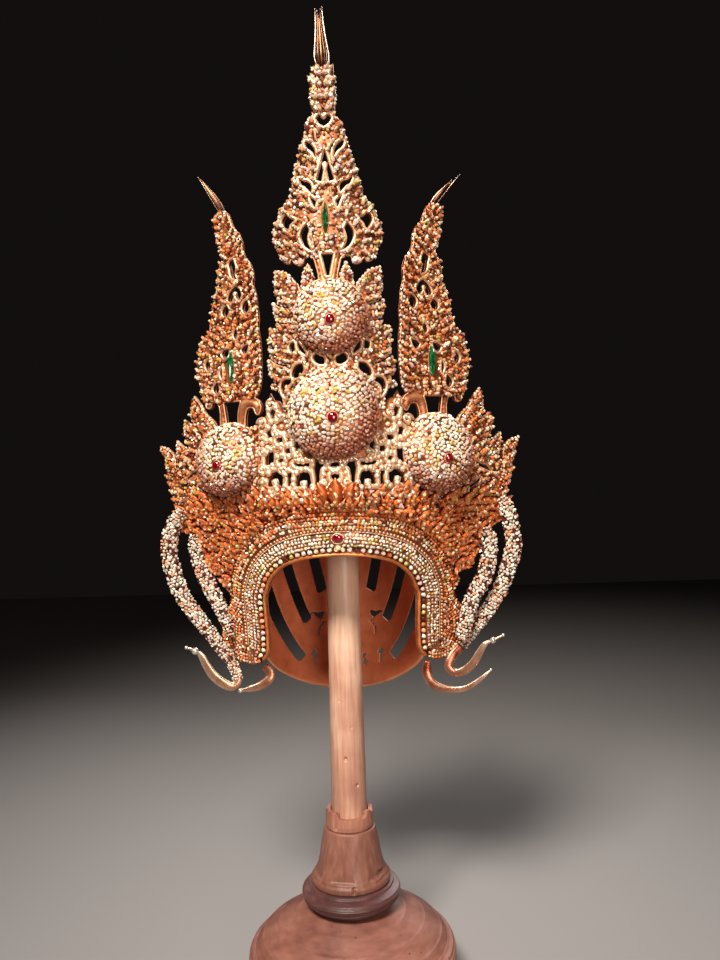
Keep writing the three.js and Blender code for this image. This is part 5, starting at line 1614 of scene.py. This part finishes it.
def wood(name, dark, middle, light, stretch, roughness, pits=0.0):
    """Bare turned wood: long soft grain, cloudy patches and, where asked, small dark pits."""
    look = Look(name)
    tone = look.scaled(look.noise(60, 6, stretch), 0.55, look.noise(14, 3))
    tone = look.scaled(look.scaled(tone, 1.5, -1.18), 1.0, look.shade())
    colour = look.ramp(tone, [(0.0, dark), (0.5, middle), (1.0, light)])
    if pits:
        spots = look.nodes.new("ShaderNodeTexVoronoi")
        spots.inputs["Scale"].default_value = pits
        place = look.nodes.new("ShaderNodeTexCoord").outputs["Object"]
        look.links.new(place, spots.inputs["Vector"])
        clear = look.ramp(spots.outputs["Distance"], [(0.05, (0, 0, 0)), (0.11, (1, 1, 1))])
        colour = look.blend(clear, PIT, colour)
    look.shader.inputs["Roughness"].default_value = roughness
    look.bump(look.noise(240, 4, stretch), 0.3, 0.0006)
    return look.finish(colour)


POST_WOOD = wood("post_wood", (0.26, 0.1, 0.07), (0.54, 0.27, 0.18), (0.9, 0.58, 0.4), (6, 6, 0.35), 0.3)
FOOT_WOOD = wood("foot_wood", (0.1, 0.035, 0.025), (0.26, 0.1, 0.065), (0.44, 0.2, 0.14), (5, 5, 1), 0.45)
RING_WOOD = wood(
    "ring_wood", (0.05, 0.02, 0.02), (0.14, 0.055, 0.05), (0.28, 0.13, 0.11), (1.5, 1.5, 5), 0.4)
COLLAR_WOOD = wood(
    "collar_wood", (0.14, 0.045, 0.03), (0.36, 0.14, 0.09), (0.55, 0.25, 0.17), (6, 6, 1), 0.5)
DRUM_WOOD = wood(
    "drum_wood", (0.16, 0.05, 0.035), (0.34, 0.13, 0.09), (0.5, 0.23, 0.17), (1.2, 1.2, 5), 0.55, 90)


def heights(node):
    return (corner[2] for corner in box(node))


def half_width(node):
    low, high = box(node)
    return (high[0] - low[0]) / 2


def away_from(turn, direction):
    """The angle from a direction, between minus and plus half a turn."""
    return (turn - direction + math.pi) % (2 * math.pi) - math.pi


def rounded_rows(profile):
    """Rows of (radius, z) with each corner slightly rounded."""
    rows = np.array(profile, float)
    for _ in range(3):
        inner = rows[1:-1]
        before = inner + np.clip(rows[:-2] - inner, -0.8, 0.8) * 0.5
        after = inner + np.clip(rows[2:] - inner, -0.8, 0.8) * 0.5
        rows = np.vstack([rows[:1], np.stack([before, after], axis=1).reshape(-1, 2), rows[-1:]])
    return rows


def fine_rows(profile, rows_per_mm):
    """Rows of (radius, z) with small even steps between them."""
    rows = np.array(profile, float)
    fine = [rows[:1]]
    for a, b in zip(rows[:-1], rows[1:]):
        steps = max(1, int(np.hypot(*(b - a)) * rows_per_mm))
        fine.append(a + (b - a) * (np.arange(1, steps + 1) / steps)[:, None])
    return np.concatenate(fine)


def build_turned(name, node, material, rows, sides, carve=None, shade_at=None):
    """Turns rows into a closed solid. carve(turn, z, radius) returns a changed radius and z."""
    radius = np.repeat(rows[:, :1], sides, axis=1)
    height = np.repeat(rows[:, 1:], sides, axis=1)
    turn = np.tile(around(sides), (len(rows), 1))
    if carve:
        radius, height = carve(turn, height, radius)
    points = np.stack([radius * np.cos(turn), radius * np.sin(turn), height], axis=2)
    shade = shade_at(height.reshape(-1)) if shade_at else 0.5
    shape = Shape()
    shape.add(points.reshape(-1, 3), [grid_faces(len(rows), sides)], 0, True, shade)
    shape.build(name, [material], [node])


def build_drum():
    low, high = heights("stand_drum")
    wide = half_width("stand_drum")
    build_turned("drum_turned", "stand_drum", DRUM_WOOD, rounded_rows([
        (0, low), (wide - 3, low), (wide, low + 3), (wide, 25), (wide, 46), (wide - 1, 49.5),
        (wide - 3.2, 53), (wide - 5.6, 54.4), (wide - 6.3, 53.2), (wide - 7.4, 55.6), (86, 64),
        (70, 74.5), (52, 83), (36, 88), (24, high), (0, high),
    ]), 128)


def build_ring():
    low, high = heights("stand_ring")
    wide = half_width("stand_ring")
    build_turned("ring_turned", "stand_ring", RING_WOOD, rounded_rows([
        (0, low), (36, low), (41, low + 1.5), (45.5, low + 5.5), (wide - 0.4, low + 11), (wide, low + 13.5),
        (wide - 1.6, low + 16), (44, low + 17.6), (41.4, low + 18.4), (40.6, high), (0, high),
    ]), 128)


FLATS = 6
FLAT_TURN = 0.62 * math.pi / 6          # direction of the first flat
FLAT_HALF = 10.5                        # half-width, and the radius of its arched top
FLAT_FOOT, FLAT_ARCH = 9.5, 35.0        # heights above the foot's base where a flat and its arch begin
FLAT_REACH, FLAT_LEVEL = 29.73, 138.7   # a flat's distance from the axis at a height
FLAT_SLOPE = 0.161
CRACK_TURN = -math.pi / 2 + 0.1
CHIP_TURN = -0.45


def foot_carving(base_z):
    """Arched flats are cut into the flare, and its moulding is cracked in front and broken on one side."""
    arch_z = base_z + FLAT_ARCH

    def carve(turn, height, radius):
        cut = radius.copy()
        reach = FLAT_REACH - FLAT_SLOPE * (height - FLAT_LEVEL)
        arch = np.sqrt(np.maximum(0, FLAT_HALF ** 2 - (height - arch_z) ** 2))
        half = np.where(height < arch_z, FLAT_HALF, arch)
        for i in range(FLATS):
            away = away_from(turn, FLAT_TURN + i * 2 * math.pi / FLATS)
            across = reach * np.tan(np.clip(away, -1.2, 1.2))
            inside = (np.abs(across) < half) & (np.abs(away) < 0.7) & (height > base_z + FLAT_FOOT)
            cut = np.where(inside, np.minimum(cut, reach / np.cos(away) - 0.4), cut)
        crack = np.abs(away_from(turn, CRACK_TURN)) < 0.035
        crack &= (height > base_z + 1) & (height < base_z + 7)
        chip = np.exp(-(away_from(turn, CHIP_TURN) / 0.16) ** 2)
        chip *= np.clip((height - base_z - 3) / 4, 0, 1) * (height < base_z + 14)
        return cut - 2.2 * crack - 1.8 * chip, height
    return carve


def build_foot():
    low, high = heights("stand_foot")
    build_turned("foot_turned", "stand_foot", FOOT_WOOD, fine_rows([
        (0, low), (37.4, low), (38.2, low + 0.8), (38.5, low + 4.6), (37.6, low + 6.2), (36.6, low + 6.6),
        (36.2, low + 8.4), (34.8, low + 10), (33, low + 13.5), (31.4, low + 18), (29.6, low + 26),
        (28, low + 36), (26.4, low + 44), (25, high - 0.8), (24.4, high), (0, high),
    ], 1.2), 240, foot_carving(low))


SPLIT_TURN = -math.pi / 2 - 0.62        # the split faces the left front
SPLIT_FLOOR = 18.6                      # the split reaches in to this distance from the axis
BORE = 19.2                             # points nearer the axis than this are the collar's inside


def collar_carving(low, high):
    """The collar is split on its left front, lower on the split's right side, and chipped along its rim."""
    def carve(turn, height, radius):
        split = away_from(turn, SPLIT_TURN)
        gap = (np.abs(split) < 0.1) & (radius > BORE) & (height > low + 1.2)
        ragged = 0.9 * np.sin(9 * turn + 1) + 0.7 * np.sin(23 * turn) + 0.5 * np.sin(41 * turn + 2)
        lowered = np.clip((split - 0.1) / 0.05, 0, 1) * np.clip((1.5 - split) / 0.12, 0, 1)
        right_chip = np.exp(-((split - 2.0) / 0.14) ** 2)
        top = high - 0.8 - 5.2 * lowered - 0.6 * np.abs(ragged) - 4 * right_chip
        return np.where(gap, SPLIT_FLOOR, radius), np.minimum(height, top)
    return carve


def build_collar():
    low, high = heights("stand_collar")
    build_turned("collar_turned", "stand_collar", COLLAR_WOOD, fine_rows([
        (18.2, low), (22.2, low), (22.9, low + 1), (23.4, low + 5), (23.2, low + 9), (22.8, high - 5),
        (21.8, high - 0.6), (21.2, high), (18.2, high), (18.2, low),
    ], 2.0), 240, collar_carving(low, high))


KNOTS = ((-1.5, 232, 1.5), (9, 206, 1.3), (5, 262, 0.7), (-6, 287, 0.7))   # x, z, radius
POST_TOP_RADIUS = 15.0


def post_carving(turn, height, radius):
    """Small knot holes in front, and very shallow rings left by the lathe."""
    x, y = radius * np.cos(turn), radius * np.sin(turn)
    hole = np.zeros_like(radius)
    for knot_x, knot_z, size in KNOTS:
        away = np.hypot(x - knot_x, (height - knot_z) * 0.8)
        hole = np.maximum(hole, np.where(y < 0, np.exp(-(away / size) ** 4), 0) * min(2.2, 1.6 * size))
    rings = 0.12 * np.sin(height * 0.19) * np.sin(height * 0.043 + 1)
    return radius - hole + np.where(radius > 3, rings, 0), height


def post_shade(z):
    """Paler towards the top: partly the wood's own paler colour there, and partly painted light that lifts
    the top out of the headdress's shadow.
    """
    return np.interp(z, (250, 400), (0.45, 1.0))


def build_post():
    low, high = heights("stand_post")
    climb = np.linspace(0, math.pi / 2, 10)[:-1]
    dome_z = high - POST_TOP_RADIUS
    dome = [(POST_TOP_RADIUS * math.cos(a), dome_z + POST_TOP_RADIUS * math.sin(a)) for a in climb]
    rows = fine_rows([(0, low), (17.4, low), (17.3, low + 6), *dome, (0, high)], 1.1)
    build_turned("post_turned", "stand_post", POST_WOOD, rows, 200, post_carving, post_shade)


build_drum()
build_ring()
build_foot()
build_collar()
build_post()

# ---------------------------------------------------------------- camera, lights and floor

camera_data = bpy.data.cameras.new("camera")
camera_data.sensor_fit = "VERTICAL"
camera_data.sensor_height = 36
camera_data.lens = 28.24
camera_data.shift_x = -0.0125
camera_data.shift_y = 0.0365
camera = bpy.data.objects.new("camera", camera_data)
bpy.context.scene.collection.objects.link(camera)
LEVEL = Matrix.Rotation(math.pi / 2, 4, "X")
ROLL = Matrix.Rotation(math.radians(-1.6), 4, "Z")
camera.matrix_world = Matrix.Translation((0.0301, -0.734, 0.464)) @ LEVEL @ ROLL
bpy.context.scene.camera = camera

NARROW = math.radians(50)
FLOOR_REACH = 4.0         # metres


def area_light(name, place, aim, size, power, colour):
    """A rectangular softbox at a place, turned towards its aim. Lengths are in metres."""
    light = bpy.data.lights.new(name, "AREA")
    light.shape = "RECTANGLE"
    light.size, light.size_y = size
    light.energy = power
    light.color = colour
    light.spread = NARROW
    lamp = bpy.data.objects.new(name, light)
    bpy.context.scene.collection.objects.link(lamp)
    lamp.location = place
    lamp.rotation_euler = (Vector(aim) - Vector(place)).to_track_quat("-Z", "Y").to_euler()


area_light("key", (-0.45, -1.5, 2.0), (0, -0.08, 0.52), (0.7, 0.45), 6.6, (1, 0.95, 0.88))
area_light("fill", (0.5, -1.6, 0.6), (0, 0, 0.45), (0.6, 0.8), 1.1, (1, 0.86, 0.78))
area_light("rim", (0.4, 1.2, 1.3), (0, 0, 0.5), (2.4, 1.4), 4, (1, 1, 1))

world = bpy.data.worlds.new("studio")
bpy.context.scene.world = world
world.use_nodes = True
world.node_tree.nodes["Background"].inputs["Color"].default_value = (1.0, 0.8, 0.75, 1)
world.node_tree.nodes["Background"].inputs["Strength"].default_value = 0.006
bpy.context.scene.view_settings.view_transform = "Standard"

floor_look = Look("pale_floor")
floor_look.shader.inputs["Base Color"].default_value = (0.4, 0.37, 0.36, 1)
floor_look.shader.inputs["Roughness"].default_value = 0.8
floor_mesh = bpy.data.meshes.new("floor")
floor_corners = [(x * FLOOR_REACH, y * FLOOR_REACH, 0) for x, y in ((-1, -1), (1, -1), (1, 1), (-1, 1))]
floor_mesh.from_pydata(floor_corners, [], [(0, 1, 2, 3)])
floor_mesh.materials.append(floor_look.material)
floor = bpy.data.objects.new("floor", floor_mesh)
bpy.context.scene.collection.objects.link(floor)
